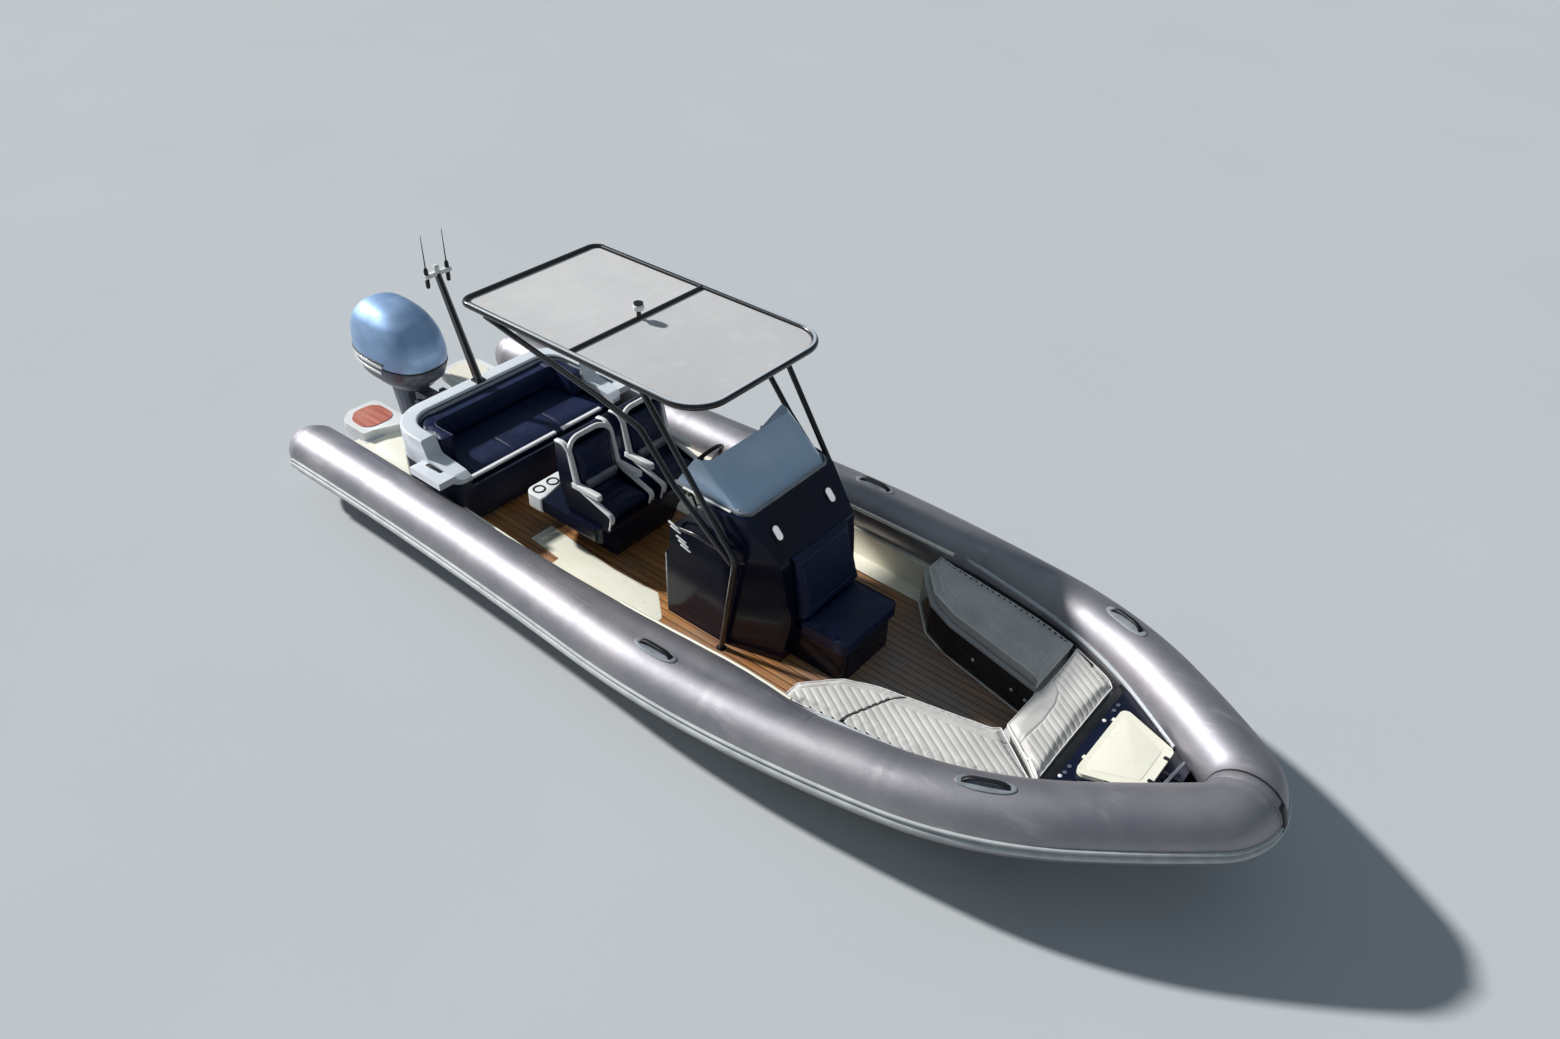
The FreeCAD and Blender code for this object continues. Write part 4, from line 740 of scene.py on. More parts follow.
def inner_bolster():
    """padding along each tube's inner side: skin raised by height(run) sin(pi s)^2 while the
    angle goes from 95 to 205 degrees with s"""
    run = np.linspace(run_at(5.10), run_at(2.20), 120)[:, None]
    s = np.linspace(0, 1, 22)[None, :]
    bulge = bolster_height(run) * np.sin(np.pi * s) ** 2 + 0.0008 * np.sin(np.pi * s)
    outer, inner = (on_skin(run, 95 + 110 * s, lift) for lift in (bulge, -0.004 + 0 * s))
    return np.concatenate([outer, inner[:, ::-1]], axis=1).reshape(-1, 3), capped(120, 44)


RIM_RUN = np.linspace(run_at(4.88), run_at(3.34), 60)
RIM_LINE = on_skin(RIM_RUN, 149.0, bolster_height(RIM_RUN) + 0.002)
add("inner_bolsters", both(inner_bolster()), FABRIC)
add("liner_rims", both(carried(RIM_LINE, circle(0.016, 10))), CREAM)


# Bench, mast and platforms

def cross_bar(x, z, start, end, count, section):
    """a bar across the boat"""
    return carried([(x, y, z) for y in np.linspace(start, end, count)], section)


COAMING_LINE = rounded([(1.115, -0.758), (0.757, -0.758, 0.20), (0.757, 0.758, 0.20),
                        (1.115, 0.758)], 10)
ARM_SLOT = rounded([(1.165, 0.900, 0.018), (1.345, 0.890, 0.018), (1.345, 0.930, 0.018),
                    (1.165, 0.940, 0.018)])
MAST_TOP = np.array([0.349, 0.0, 1.798])
SLEEVE = [(0, -0.10), (0.015, -0.098), (0.018, -0.08), (0.018, 0.055), (0.010, 0.075), (0, 0.076)]
MAST_LAMP = [(0, 0.012), (0.022, 0.014), (0.024, 0.022), (0.024, 0.056), (0.014, 0.072), (0, 0.074)]
add("coaming_piping", carried(at_height(even(COAMING_LINE, 0.02), 0.910), circle(0.005, 8)), BLACK)
add("arm_trays", both(plate(ARM_SLOT, 0.752, 0.7632)), BLACK)
add("bench_rails", joined(cross_bar(1.470, 0.683, a, b, 24, oblong(0.040, 0.022, 0.008))
                          for a, b in ((-0.745, 0.13), (0.21, 0.64))), WHITE)
add("mast_bar_cover", cross_bar(MAST_TOP[0], MAST_TOP[2], -0.128, 0.128, 9,
                                oblong(0.052, 0.036, 0.012, 6)), WHITE)
add("aerial_sleeves", both(lathe(SLEEVE, 18, MAST_TOP + [0, 0.102, 0])), BLACK)
add("mast_lamp", lathe(MAST_LAMP, 24, MAST_TOP), WHITE)


# Outboard: covers as stacked superellipses

COVER_MIDDLE, COVER_REACH, COVER_HALF, COVER_POWER = -0.388, 0.475, 0.312, 2.6
COVER = [(0.00, 0.970, -0.960, 0.965), (0.05, 0.980, -0.985, 0.985), (0.15, 0.975, -1.000, 1.000),
         (0.45, 0.890, -0.980, 0.965), (0.72, 0.660, -0.880, 0.840), (0.88, 0.400, -0.730, 0.660),
         (0.96, 0.200, -0.600, 0.500), (1.00, -0.050, -0.380, 0.250)]
SKIRT = [(0.00, 0.670, -0.670, 0.645), (0.06, 0.690, -0.690, 0.670), (0.40, 0.870, -0.870, 0.890),
         (0.92, 0.965, -0.965, 0.968), (1.00, 0.955, -0.955, 0.955)]


def smooth_table(table, count):
    """rows of a table carried through by a monotone blend, so that a few sections read as a
    smooth form: cubic steps between neighbours with limited slopes"""
    table = np.asarray(table, float)
    x, y = table[:, 0], table[:, 1:]
    slope = np.diff(y, axis=0) / np.diff(x)[:, None]
    product, total = slope[:-1] * slope[1:], slope[:-1] + slope[1:]
    inner = np.where(product > 0, 2 * product / np.where(np.abs(total) > 1e-9, total, 1), 0)
    tangent = np.concatenate([slope[:1], inner, slope[-1:]])
    at = np.linspace(x[0], x[-1], count)
    i = np.clip(np.searchsorted(x, at, "right") - 1, 0, len(x) - 2)
    width = (x[i + 1] - x[i])[:, None]
    t = (at - x[i])[:, None] / width
    value = ((2 * t ** 3 - 3 * t ** 2 + 1) * y[i] + (t ** 3 - 2 * t ** 2 + t) * width * tangent[i]
             + (3 * t ** 2 - 2 * t ** 3) * y[i + 1] + (t ** 3 - t ** 2) * width * tangent[i + 1])
    return at, value


def cover_form(table, count, base, height):
    """a cover from a table of height, fore, aft and half-width shares: a stack of outlines
    |x|^p + |y|^p = 1 stretched to those limits, whose ends shrink to their middles"""
    c, s = squarish(turn_points(64), COVER_POWER)
    rings = []
    for share, limits in zip(*smooth_table(table, count)):
        fore, aft = (limit * COVER_REACH + COVER_MIDDLE for limit in limits[:2])
        x = (fore + aft) / 2 + (fore - aft) / 2 * c
        y = limits[2] * COVER_HALF * s
        rings.append(np.stack([x, y, np.full(64, base + share * height)], -1))
    ends = [np.tile(ring.mean(0), (64, 1)) for ring in (rings[0], rings[-1])]
    rings = [ends[0], *rings, ends[1]]
    return np.concatenate(rings), grid(len(rings), 64, ring_columns=True)


def cover_belt(low, high, out, start=0.0, end=2 * np.pi):
    """a band round the covers between two heights: the outline moved out by a few millimetres"""
    c, s = squarish(np.linspace(start, end, 90), COVER_POWER)
    path = at_height(np.column_stack([COVER_MIDDLE + (0.463 + out) * c, (0.303 + out) * s]),
                     (low + high) / 2)
    half = (high - low) / 2
    section = rounded([(-0.006, -half, 0.004), (0.003, -half, 0.003), (0.003, half, 0.003),
                       (-0.006, half, 0.004)], 3)
    closed = end - start > 6.2
    return carried(path[:-1] if closed else path, section, closed=closed)


FLASH = joined([cover_belt(0.804, 0.836, 0.0115, 1.35, 4.93),
                cover_belt(0.736, 0.764, 0.0045, 1.40, 4.88)])
add("engine_cover", cover_form(COVER, 44, 0.8023, 0.478), SILVER, "outboard", ["cowl"])
add("lower_cover", cover_form(SKIRT, 26, 0.562, 0.240), CAST, "outboard", ["cowl_skirt"], 50)
add("cover_seal", cover_belt(0.789, 0.799, 0.001), BLACK, "outboard")
add("cover_louvres", cover_belt(0.842, 0.858, 0.0125, 1.30, 4.98), BLACK, "outboard")
add("cover_flash", FLASH, WHITE, "outboard")


# Helm pod and seats

POD_CORNER = rounded([(1.862, -0.553, 0.075), (2.060, -0.553, 0.02), (2.060, -0.500, 0.04),
                      (1.985, -0.200, 0.05), (1.862, -0.200, 0.02)], 8)
CUP = [(0.050, 0.6455), (0.052, 0.6530), (0.049, 0.6560), (0.040, 0.6560), (0.038, 0.6520),
       (0.036, 0.6475), (0, 0.6470)]
add("pod_corners", both(plate(POD_CORNER, 0.525, 0.650, 0.014)), WHITE)
add("cup_holders", both(joined(lathe(CUP, 28, (1.945, y, 0)) for y in (-0.470, -0.330))), BLACK)

SEAT_MIDDLES = (-0.275, 0.275)
SEAT_HALF = 0.2075
SHELL_EDGE = [(2.752, 0.670), (2.782, 0.795), (2.700, 0.817), (2.430, 0.900), (2.362, 1.190),
              (2.306, 1.244), (2.225, 1.236)]
ARMREST = plate(rounded([(-0.150, -0.024, 0.020), (0.150, -0.024, 0.024), (0.150, 0.024, 0.024),
                         (-0.150, 0.024, 0.020)]), 0, 0.042, 0.012)


def seat_trim(y):
    """a broad rim along a seat wall's upper edge"""
    return carried(bent([(x, y, z) for x, z in SHELL_EDGE], 0.06), oblong(0.022, 0.042, 0.008),
                   np.array([0, 1.0, 0]))


def seat_hoop(y):
    """the rounded rim of a seat's back: up one wall, over the head and down the other"""
    wall = [(2.405, -SEAT_HALF, 0.930), (2.352, -SEAT_HALF, 1.215), (2.318, -0.120, 1.254)]
    path = [(x, y + off, z) for x, off, z in wall] + [(x, y - off, z) for x, off, z in wall[::-1]]
    return carried(bent(path, 0.09), oblong(0.040, 0.028, 0.009), np.array([0.98, 0, 0.19]))


add("seat_trim", joined(seat_trim(middle + side * SEAT_HALF)
                        for middle in SEAT_MIDDLES for side in (-1, 1)), WHITE)
add("seat_hoops", joined(seat_hoop(middle) for middle in SEAT_MIDDLES), WHITE)
add("armrests", joined(turned(ARMREST, (2.520, middle + side * 0.209, 0.895))
                       for middle in SEAT_MIDDLES for side in (-1, 1)), WHITE)


# Console, dash and wheel

DASH_HEAD = np.array([3.760, 0.0, 1.400])
DASH_DOWN = unit(np.array([3.390, 0.0, 1.040]) - DASH_HEAD)
DASH_OUT = np.array([DASH_DOWN[2], 0.0, -DASH_DOWN[0]])
DIAL = [(0.042, 0), (0.044, 0.008), (0.040, 0.011), (0.035, 0.011), (0.034, 0.006), (0, 0.006)]
COMPASS = [(0.048, 0), (0.052, 0.012), (0.048, 0.030), (0.034, 0.052), (0.016, 0.062), (0, 0.064)]


def on_dash(shape, down, across):
    """set a shape drawn flat, x down the dash and z out of it"""
    return turned(shape, DASH_HEAD + DASH_DOWN * down + [0, across, 0], DASH_DOWN, DASH_OUT)


for name, finish, shape, places in (
        ("plotter_frames", RING_GREY, plate(oblong(0.232, 0.302, 0.018, 5), 0.002, 0.022, 0.005),
         [(0.175, -0.25), (0.175, 0.25)]),
        ("plotter_glass", BLACK_GLOSS, plate(oblong(0.180, 0.262, 0.006, 5), 0.018, 0.0232, 0.001),
         [(0.172, -0.25), (0.172, 0.25)]),
        ("switch_panel", RING_GREY, plate(oblong(0.062, 0.215, 0.010, 5), 0.001, 0.0055, 0.001),
         [(0.395, 0.265)]),
        ("rocker_switches", BLACK, plate(oblong(0.034, 0.020, 0.004, 5), 0.004, 0.012),
         [(0.395, 0.190 + 0.030 * i) for i in range(6)]),
        ("dial_rings", STEEL, lathe(DIAL), [(0.090, -0.045), (0.090, 0.045)])):
    add(name, joined(on_dash(shape, *place) for place in places), finish)
add("compass", lathe(COMPASS, 32, (3.800, 0, 1.398)), BLACK)

WHEEL_AT = (3.23504, 0.0, 1.23962)
WHEEL_AXIS = (-math.cos(math.radians(30)), 0.0, 0.5)
WHEEL_RADIUS, WHEEL_GRIP = 0.185, 0.0155
SPOKE_END = 0.184
BOSS = [(0, -0.034), (0.040, -0.034), (0.042, -0.024), (0.040, -0.010), (0.026, -0.003),
        (0, -0.002)]


def wheel_rim():
    """a round rim"""
    return lathe([(WHEEL_RADIUS + WHEEL_GRIP * math.cos(a), WHEEL_GRIP * math.sin(a))
                  for a in np.linspace(0, 2 * np.pi, 17)], 72)


def wheel_spoke(turn):
    """a flat spoke that curves down to the boss, wider at both ends"""
    r = np.linspace(0.030, SPOKE_END, 12)
    drop = -0.020 * (1 - (r / SPOKE_END) ** 2)
    width = (1 + 0.5 * np.exp(-((r - 0.03) / 0.03) ** 2)
             + 0.25 * np.exp(-((SPOKE_END - r) / 0.02) ** 2))
    path = np.column_stack([r * math.cos(turn), r * math.sin(turn), drop])
    return carried(path, oblong(0.024, 0.007, 0.003), UP, width)


SPOKES = joined(wheel_spoke(math.radians(turn)) for turn in (90, 210, 330))
for name, shape, finish, stands_for in (("wheel_rim", wheel_rim(), BLACK, ["steering_wheel"]),
                                        ("wheel_spokes", SPOKES, STEEL, ()),
                                        ("wheel_boss", lathe(BOSS, 40), BLACK, ())):
    add(name, turned(shape, WHEEL_AT, (0.5, 0, 0.866), WHEEL_AXIS), finish, "wheel", stands_for)

SCREEN_LINE = rounded([(3.400, -0.455), (3.985, -0.455, 0.04), (4.034, -0.405, 0.04),
                       (4.034, 0.405, 0.04), (3.985, 0.455, 0.04), (3.400, 0.455)])
FOOT_SECTION = rounded([(-0.009, -0.014, 0.005), (0.007, -0.014, 0.005), (0.004, 0.016, 0.004),
                        (-0.006, 0.016, 0.004)], 3)
GRAB_RAIL = [(3.520, -0.508, 1.120), (3.520, -0.560, 1.120), (3.700, -0.575, 1.160),
             (4.000, -0.545, 1.090), (4.060, -0.500, 1.060)]
SIDE_BARS = ((3.50, 3.92, -0.484, 1.410), (3.54, 3.95, -0.436, 1.412), (3.60, 3.96, -0.392, 1.412))
VENTS = ((3.43, 1.075), (3.45, 1.045), (3.50, 0.985), (3.52, 0.955), (3.54, 0.925))
VENT = plate(oblong(0.100, 0.012, 0.005), -0.004, 0.007)
add("screen_foot", carried(at_height(even(SCREEN_LINE, 0.02), 1.3985), FOOT_SECTION), RING_GREY)
add("side_grab_rails", both(carried(bent(GRAB_RAIL, 0.06), circle(0.013, 12))), POWDER)
add("screen_side_bars", joined(carried([(x, y, z) for x in np.linspace(a, b, 12)],
                                       oblong(0.018, 0.012, 0.004))
                               for a, b, y, z in SIDE_BARS), WHITE)
add("side_vents", joined(turned(VENT, (x, -0.515, z), (1.0, 0, -0.25), (0, -1.0, 0))
                         for x, z in VENTS), WHITE)

LAMP_OUT = unit(np.array([297.0, 0, 265.0]))
for name, outline, finish, stands_for in (
        ("lamp_bezels", plate(oblong(0.132, 0.080, 0.039, 8), -0.004, 0.010, 0.005), BLACK, ()),
        ("lamp_lenses", plate(oblong(0.106, 0.054, 0.026, 8), 0.004, 0.0135, 0.004), LENS,
         ["docking_lights"])):
    add(name, joined(turned(outline, (4.1612, y, 1.2450), (-LAMP_OUT[2], 0, LAMP_OUT[0]), LAMP_OUT)
                     for y in (-0.29, 0.29)), finish, stands_for=stands_for)


# T-top canvas

def canopy_panel(start, end, aft_round, front_round, sag=0.014, half=0.660, thick=0.003):
    """a taut panel: straight rows across whose half-width follows the frame's rounded corners,
    height = middle - sag (1 - u^2)(1 - v^2), with a back below; also gives the panel's area"""
    x = start + (end - start) * (0.5 - 0.5 * np.cos(np.linspace(0, np.pi, 56)))
    for into, radius in ((start + aft_round - x, aft_round), (x - end + front_round, front_round)):
        round_off = radius - np.sqrt(np.maximum(radius ** 2 - into ** 2, 0))
        half = half - np.where(into > 0, round_off, 0)
    v = np.linspace(-1, 1, 48)[None, :]
    u = (2 * (x - start) / (end - start) - 1)[:, None]
    z = TOP_Z - sag * (1 - u ** 2) * (1 - v ** 2) + thick / 2
    top = np.stack([x[:, None] + 0 * v, half[:, None] * v, z], -1)
    rows, columns = top.shape[:2]
    count = rows * columns
    edge = np.concatenate([np.arange(columns), np.arange(1, rows) * columns + columns - 1,
                           (rows - 1) * columns + np.arange(columns - 2, -1, -1),
                           np.arange(rows - 2, 0, -1) * columns])
    following = np.roll(edge, -1)
    wall = np.stack([edge, following, following + count, edge + count], -1)
    faces = [grid(rows, columns), grid(rows, columns, start=count)[:, ::-1], wall]
    points = np.concatenate([top.reshape(-1, 3), (top - [0, 0, thick]).reshape(-1, 3)])
    return (points, np.concatenate(faces).tolist()), float(np.sum((2 * half)[:-1] * np.diff(x)))


for name, start, end, aft_round, front_round in (
        ("aft_canvas", 1.5542, TOP_BAR - 0.013, 0.09, 0.0),
        ("front_canvas", TOP_BAR + 0.012, 3.8002, 0.0, 0.245)):
    shape, area = canopy_panel(start, end, aft_round, front_round)
    panel = add(name, shape, CANVAS, stands_for=["ttop_canvas"] if name == "aft_canvas" else ())

GLOBE = [(0, 0.0), (0.037, 0.0), (0.040, 0.008), (0.040, 0.030), (0.030, 0.044), (0.012, 0.0495),
         (0, 0.050)]
# painted highlight: a pale strip on top of the rim along its sides and front stands in for the
# glint on the glossy black tube; the aft edge has none
HIGHLIGHT_LINE = rounded([(1.640, -0.669), (3.8072, -0.670, 0.245), (3.8072, 0.670, 0.245),
                      (1.640, 0.669)], 14)
HIGHLIGHT_SECTION = rounded([(-0.011, -0.006, 0.004), (0.011, -0.006, 0.004), (0.010, 0.0015, 0.003),
                         (-0.010, 0.0015, 0.003)], 3)
add("lamp_globe", lathe(GLOBE, 32, (TOP_BAR, 0, 2.262)), WHITE)
add("rim_highlight_strip", carried(at_height(even(HIGHLIGHT_LINE, 0.025), TOP_Z + 0.0245), HIGHLIGHT_SECTION),
    GREY_WHITE)


# Padded pieces

def positions(mesh, what="co"):
    """a mesh's points, or their normals, as an array"""
    values = np.empty(3 * len(mesh.vertices))
    mesh.vertices.foreach_get(what, values)
    return values.reshape(-1, 3)


def moved(mesh, points):
    """give a mesh's points new places"""
    mesh.vertices.foreach_set("co", points.ravel())
    mesh.update()


def worked(item):
    """a new mesh of the object with its modifiers worked in, and the modifiers taken off"""
    graph = bpy.context.evaluated_depsgraph_get()
    mesh = bpy.data.meshes.new_from_object(item.evaluated_get(graph))
    item.modifiers.clear()
    return mesh


def modified(item, kind, **settings):
    """put one modifier on an object and work it into its mesh"""
    modifier = item.modifiers.new(kind.lower(), kind)
    for name, value in settings.items():
        setattr(modifier, name, value)
    item.data = worked(item)
    return item.data


def rim_of(shell, up, share=0.999):
    """the loops of edges round the face that a solid turns towards up, as point arrays; edges
    are taken in the mesh's own order, so every run starts a loop at the same place"""
    up = Vector(up)
    loops = []
    edges = {e: e for e in shell.edges if len(e.link_faces) == 2 and
             (e.link_faces[0].normal.dot(up) > share) != (e.link_faces[1].normal.dot(up) > share)}
    while edges:
        chain = list(edges.pop(next(iter(edges))).verts)
        while following := next((e for e in chain[-1].link_edges if e in edges), None):
            del edges[following]
            chain.append(following.other_vert(chain[-1]))
        points = np.array([tuple(v.co) for v in chain])
        loops.append(points[:-1] if np.allclose(points[0], points[-1]) else points)
    return loops


def from_line(flat, line):
    """distance in a plane from each point to the nearest piece of an open line"""
    best = np.full(len(flat), 9.0)
    for start, end in zip(line, line[1:]):
        run = end - start
        t = np.clip(((flat - start) @ run) / max(run @ run, 1e-12), 0, 1)
        best = np.minimum(best, np.linalg.norm(flat - start - t[:, None] * run, axis=1))
    return best


def from_rim(points, loops, axes):
    """distance in a plane from each point to the nearest piece of the rim"""
    rings = [np.concatenate([loop, loop[:1]])[:, axes] for loop in loops]
    return np.min([from_line(points[:, axes], ring) for ring in rings], axis=0)


def blown(piece, start, pressure=4.0, frames=20):
    """how far cloth with pressure moves each point of a piece that starts from those points"""
    cloth = piece.modifiers.new("cloth", "CLOTH")
    cloth.settings.use_pressure = True
    cloth.settings.uniform_pressure_force = pressure
    cloth.settings.effector_weights.gravity = 0
    cloth.settings.quality = 4
    cloth.point_cache.frame_start, cloth.point_cache.frame_end = 1, frames
    for number in range(1, frames + 1):
        bpy.context.scene.frame_set(number)
    puffed = worked(piece)
    bpy.context.scene.frame_set(1)
    move = positions(puffed) - start
    bpy.data.meshes.remove(puffed)
    return move


def swollen(name, node, finish, voxel, draw_in, cap, free=(0, 0, 1), slack=0.003, fitted=None):
    """a padded copy of a soft solid: its mesh merged, remeshed and drawn in a little, blown up as
    cloth, each point's move held to cap (tanh) on the free side and to draw-in + slack on
    the sides that touch something, then subdivided once; fitted may shape the solid first"""
    mesh = NODES[node].data.copy()
    if fitted:
        mesh.vertices.foreach_set("co", fitted(positions(mesh)).ravel())
    shell = bmesh.new()
    shell.from_mesh(mesh)
    bmesh.ops.remove_doubles(shell, verts=shell.verts, dist=5e-5)
    shell.to_mesh(mesh)
    shell.free()
    shell = bmesh.new()
    shell.from_mesh(mesh)
    rims = rim_of(shell, free)
    shell.free()
    piece = bpy.data.objects.new(name, mesh)
    bpy.context.scene.collection.objects.link(piece)
    modified(piece, "REMESH", mode="VOXEL", voxel_size=voxel)
    mesh = modified(piece, "SMOOTH", factor=0.5, iterations=3)
    start = positions(mesh) - draw_in * positions(mesh, "normal")
    moved(mesh, start)
    facing = positions(mesh, "normal") @ unit(np.array(free, float))
    move = blown(piece, start)
    reach = np.linalg.norm(move, axis=1)
    open_share = np.clip(facing / 0.5, 0, 1)
    limit = (draw_in + slack) * (1 - open_share) + cap * open_share
    move *= (limit * np.tanh(reach / limit) / np.maximum(reach, 1e-9))[:, None]
    mesh.vertices.foreach_set("co", (start + move).ravel())
    mesh = modified(piece, "SUBSURF", levels=1, render_levels=1)
    mesh.materials.clear()
    mesh.materials.append(finish)
    mesh.shade_smooth()
    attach(piece, "boat")
    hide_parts(node)
    return piece, rims


def pressed(piece, depth):
    """move each point along its normal by the given depths"""
    mesh = piece.data
    moved(mesh, positions(mesh) + positions(mesh, "normal") * depth[:, None])


def line_press(distance, depth, width):
    """a sewn line: -depth exp(-(d / width)^2)"""
    return -depth * np.exp(-(distance / width) ** 2)


def saw(value, pitch):
    """distance to the nearest of a row of evenly spaced lines"""
    return np.abs((value / pitch + 0.5) % 1 - 0.5) * pitch


def laid(piece, path, radius, sink):
    """a path moved onto a padded piece: each point at the nearest place on its skin"""
    mesh = piece.data
    tree = BVHTree.FromPolygons([tuple(v.co) for v in mesh.vertices],
                                [tuple(p.vertices) for p in mesh.polygons])
    hits = [tree.find_nearest(Vector(p)) for p in path]
    return np.array([tuple(h[0] + h[1] * radius * (1 - sink)) for h in hits])


def piped(piece, name, loops, radius, finish, sink=0.3):
    """piping laid on a padded piece along the rim of its solid"""
    shapes = []
    for loop in loops:
        at = laid(piece, even(loop, 0.012, closed=True), radius, sink)
        for _ in range(3):
            at = (np.roll(at, 1, 0) + 2 * at + np.roll(at, -1, 0)) / 4
        shapes.append(carried(at, circle(radius, 8), closed=True))
    add(name + "_piping", joined(shapes), finish)


def top_share(up):
    """1 where a normal's rise shows a top face, falling to 0 on the walls"""
    return np.clip((up - 0.55) / 0.3, 0, 1)


def ribbed(piece, inside, turn, pitch=0.050):
    """narrow rolls along a direction turned from +X, on the top inside a smooth border whose
    seam is where inside is nothing"""
    points, up = positions(piece.data), positions(piece.data, "normal")[:, 2]
    turn = math.radians(turn)
    across = points[:, 1] * math.cos(turn) - points[:, 0] * math.sin(turn)
    depth = line_press(saw(across, pitch), 0.0060, 0.0085) * np.clip(inside / 0.006, 0, 1)
    pressed(piece, np.minimum(depth, line_press(np.abs(inside), 0.0065, 0.0065)) * top_share(up))


def front_edge(points):
    """the forward cushions end 55 mm short of their solids: the last 110 mm are halved"""
    x = points[:, 0]
    return np.column_stack([np.where(x > 6.30, 6.30 + 0.5 * (x - 6.30), x), points[:, 1:]])


WELL_EDGE = FOOTWELL + 0.004
PARTING = np.array([(5.352, -0.400), (5.165, -0.865)])
GROOVE = np.array([(6.10, -0.420), (6.121, -0.278), (6.142, -0.050), (6.131, 0.135),
                   (6.096, 0.238), (6.019, 0.331), (5.950, 0.350)])
JOINT = np.column_stack([np.linspace(5.972, 6.350, 34), np.linspace(-0.232, -0.482, 34)])
SEAT_HEIGHT = 0.64
BOW_PADS = {}
for side in ("port", "starboard", "forward"):
    node = "bow_cushion_" + side
    piece, rims = swollen(node + "_pad", node, PALE, 0.011, 0.010, 0.026,
                          fitted=None if side == "port" else front_edge)
    flat = positions(piece.data)[:, :2]
    x, y = flat.T
    border = from_line(flat * [1, 1 if side == "port" else -1], WELL_EDGE)
    if side == "port":
        ribbed(piece, np.minimum(border - 0.088, 5.888 - x), 90)
    elif side == "starboard":
        ahead = x > np.interp(y, PARTING[::-1, 1], PARTING[::-1, 0])
        ribbed(piece, border - np.where(ahead, 0.130, 0.090), -30)
        upper = positions(piece.data, "normal")[:, 2] > 0.2
        pressed(piece, line_press(from_line(flat, PARTING), 0.014, 0.006) * upper)
    else:
        beyond = (x > np.interp(y, GROOVE[:, 1], GROOVE[:, 0])) | (y > 0.350)
        ribbed(piece, from_line(flat, GROOVE) * np.where(beyond, 1, -1), -31)
    piped(piece, node, rims, 0.0040, PIPING, -0.2)
    BOW_PADS[side] = piece
for name, side, line, radius, sink, sides, finish in (
        ("bow_joint_piping", "forward", JOINT, 0.008, 0.5, 10, PIPING),
        # painted shade: a dark cord laid at the bottom of the starboard cushion's parting groove
        # darkens the joint
        ("bow_parting_shade", "starboard", even(PARTING, 0.012), 0.004, 0.6, 8, PAINTED_SHADE)):
    path = laid(BOW_PADS[side], at_height(line, SEAT_HEIGHT), radius, sink)
    add(name, carried(path, circle(radius, sides)), finish)

LEAN = unit(np.array([503.0, 0, 142.0]))
HELM_LEAN = np.array([0.75, 0, 0.66])


def border_seam(points, rims, axes, inset, depth):
    """a sewn line parallel to the rim, this far inside it"""
    return line_press(np.abs(from_rim(points, rims, axes) - inset), depth, 0.006)


def press_bench_seat(points, normals, rims):
    """a seam inside the rim, and two partings across the seat"""
    parting = line_press(np.abs(np.abs(points[:, 1]) - 0.255), 0.007, 0.008)
    border = border_seam(points, rims, [0, 1], 0.07, 0.004)
    return np.minimum(border, parting) * top_share(normals[:, 2])


def press_bench_back(points, normals, rims):
    """upright rolls on the faces that look ahead and astern, and one level seam"""
    rolls = line_press(saw(points[:, 1], 0.12), 0.004, 0.008) * (np.abs(normals[:, 0]) > 0.5)
    level = line_press(np.abs(points[:, 2] - 0.850), 0.004, 0.006)
    return np.minimum(rolls, level) * np.clip((np.abs(normals[:, 2]) - 0.5) / -0.3 + 1, 0, 1)


def press_front_seat(points, normals, rims):
    """a seam inside the rim"""
    return border_seam(points, rims, [0, 1], 0.055, 0.0045) * top_share(normals[:, 2])


def press_front_backrest(points, normals, rims):
    """a seam inside the rim of the leaning face"""
    facing = np.clip((normals @ LEAN - 0.5) / 0.3, 0, 1)
    return border_seam(points, rims, [1, 2], 0.055, 0.0045) * facing


def press_helm_pads(points, normals, rims):
    """two seams along each seat, and rolls across between them"""
    side = np.abs(np.abs(points[:, 1]) - 0.275)
    rolls = line_press(saw(points[:, 2] - points[:, 0] * 0.4, 0.075), 0.004, 0.007)
    rolls = np.minimum(line_press(np.abs(side - 0.115), 0.004, 0.006), rolls * (side < 0.115))
    return rolls * np.clip((normals @ HELM_LEAN - 0.3) / 0.3, 0, 1)


for name, node, press, piping, settings in (
        ("bench_seat_pad", "bench_seat", press_bench_seat, 0.0045, (0.013, 0.010, 0.026)),
        ("bench_back_pad", "bench_back", press_bench_back, 0.0045,
         (0.011, 0.010, 0.014, (0, 0, 1), 0.002)),
        ("front_seat_pad", "front_seat", press_front_seat, 0.004, (0.009, 0.008, 0.022)),
        ("front_backrest_pad", "front_backrest", press_front_backrest, 0.004,
         (0.009, 0.008, 0.020, LEAN)),
        ("helm_pads", "helm_cushions", press_helm_pads, 0, (0.009, 0.006, 0.018, HELM_LEAN))):
    piece, rims = swollen(name, node, NAVY, *settings)
    pressed(piece, press(positions(piece.data), positions(piece.data, "normal"), rims))
    if piping:
        piped(piece, node, rims, piping, NAVY)

BULGE = np.clip(1.15 - (np.abs(np.linspace(-1, 1, 15)) ** 6) * 0.35, 0, 1)
LUMBAR = carried([(2.452, y, 0.900) for y in np.linspace(-0.150, 0.150, 15)],
                 oblong(0.056, 0.090, 0.027, 6), np.array([0.28, 0, 1.0]), BULGE)
add("lumbar_bars", joined(turned(LUMBAR, (0, middle, 0)) for middle in SEAT_MIDDLES), RING_GREY)


# Bow fittings

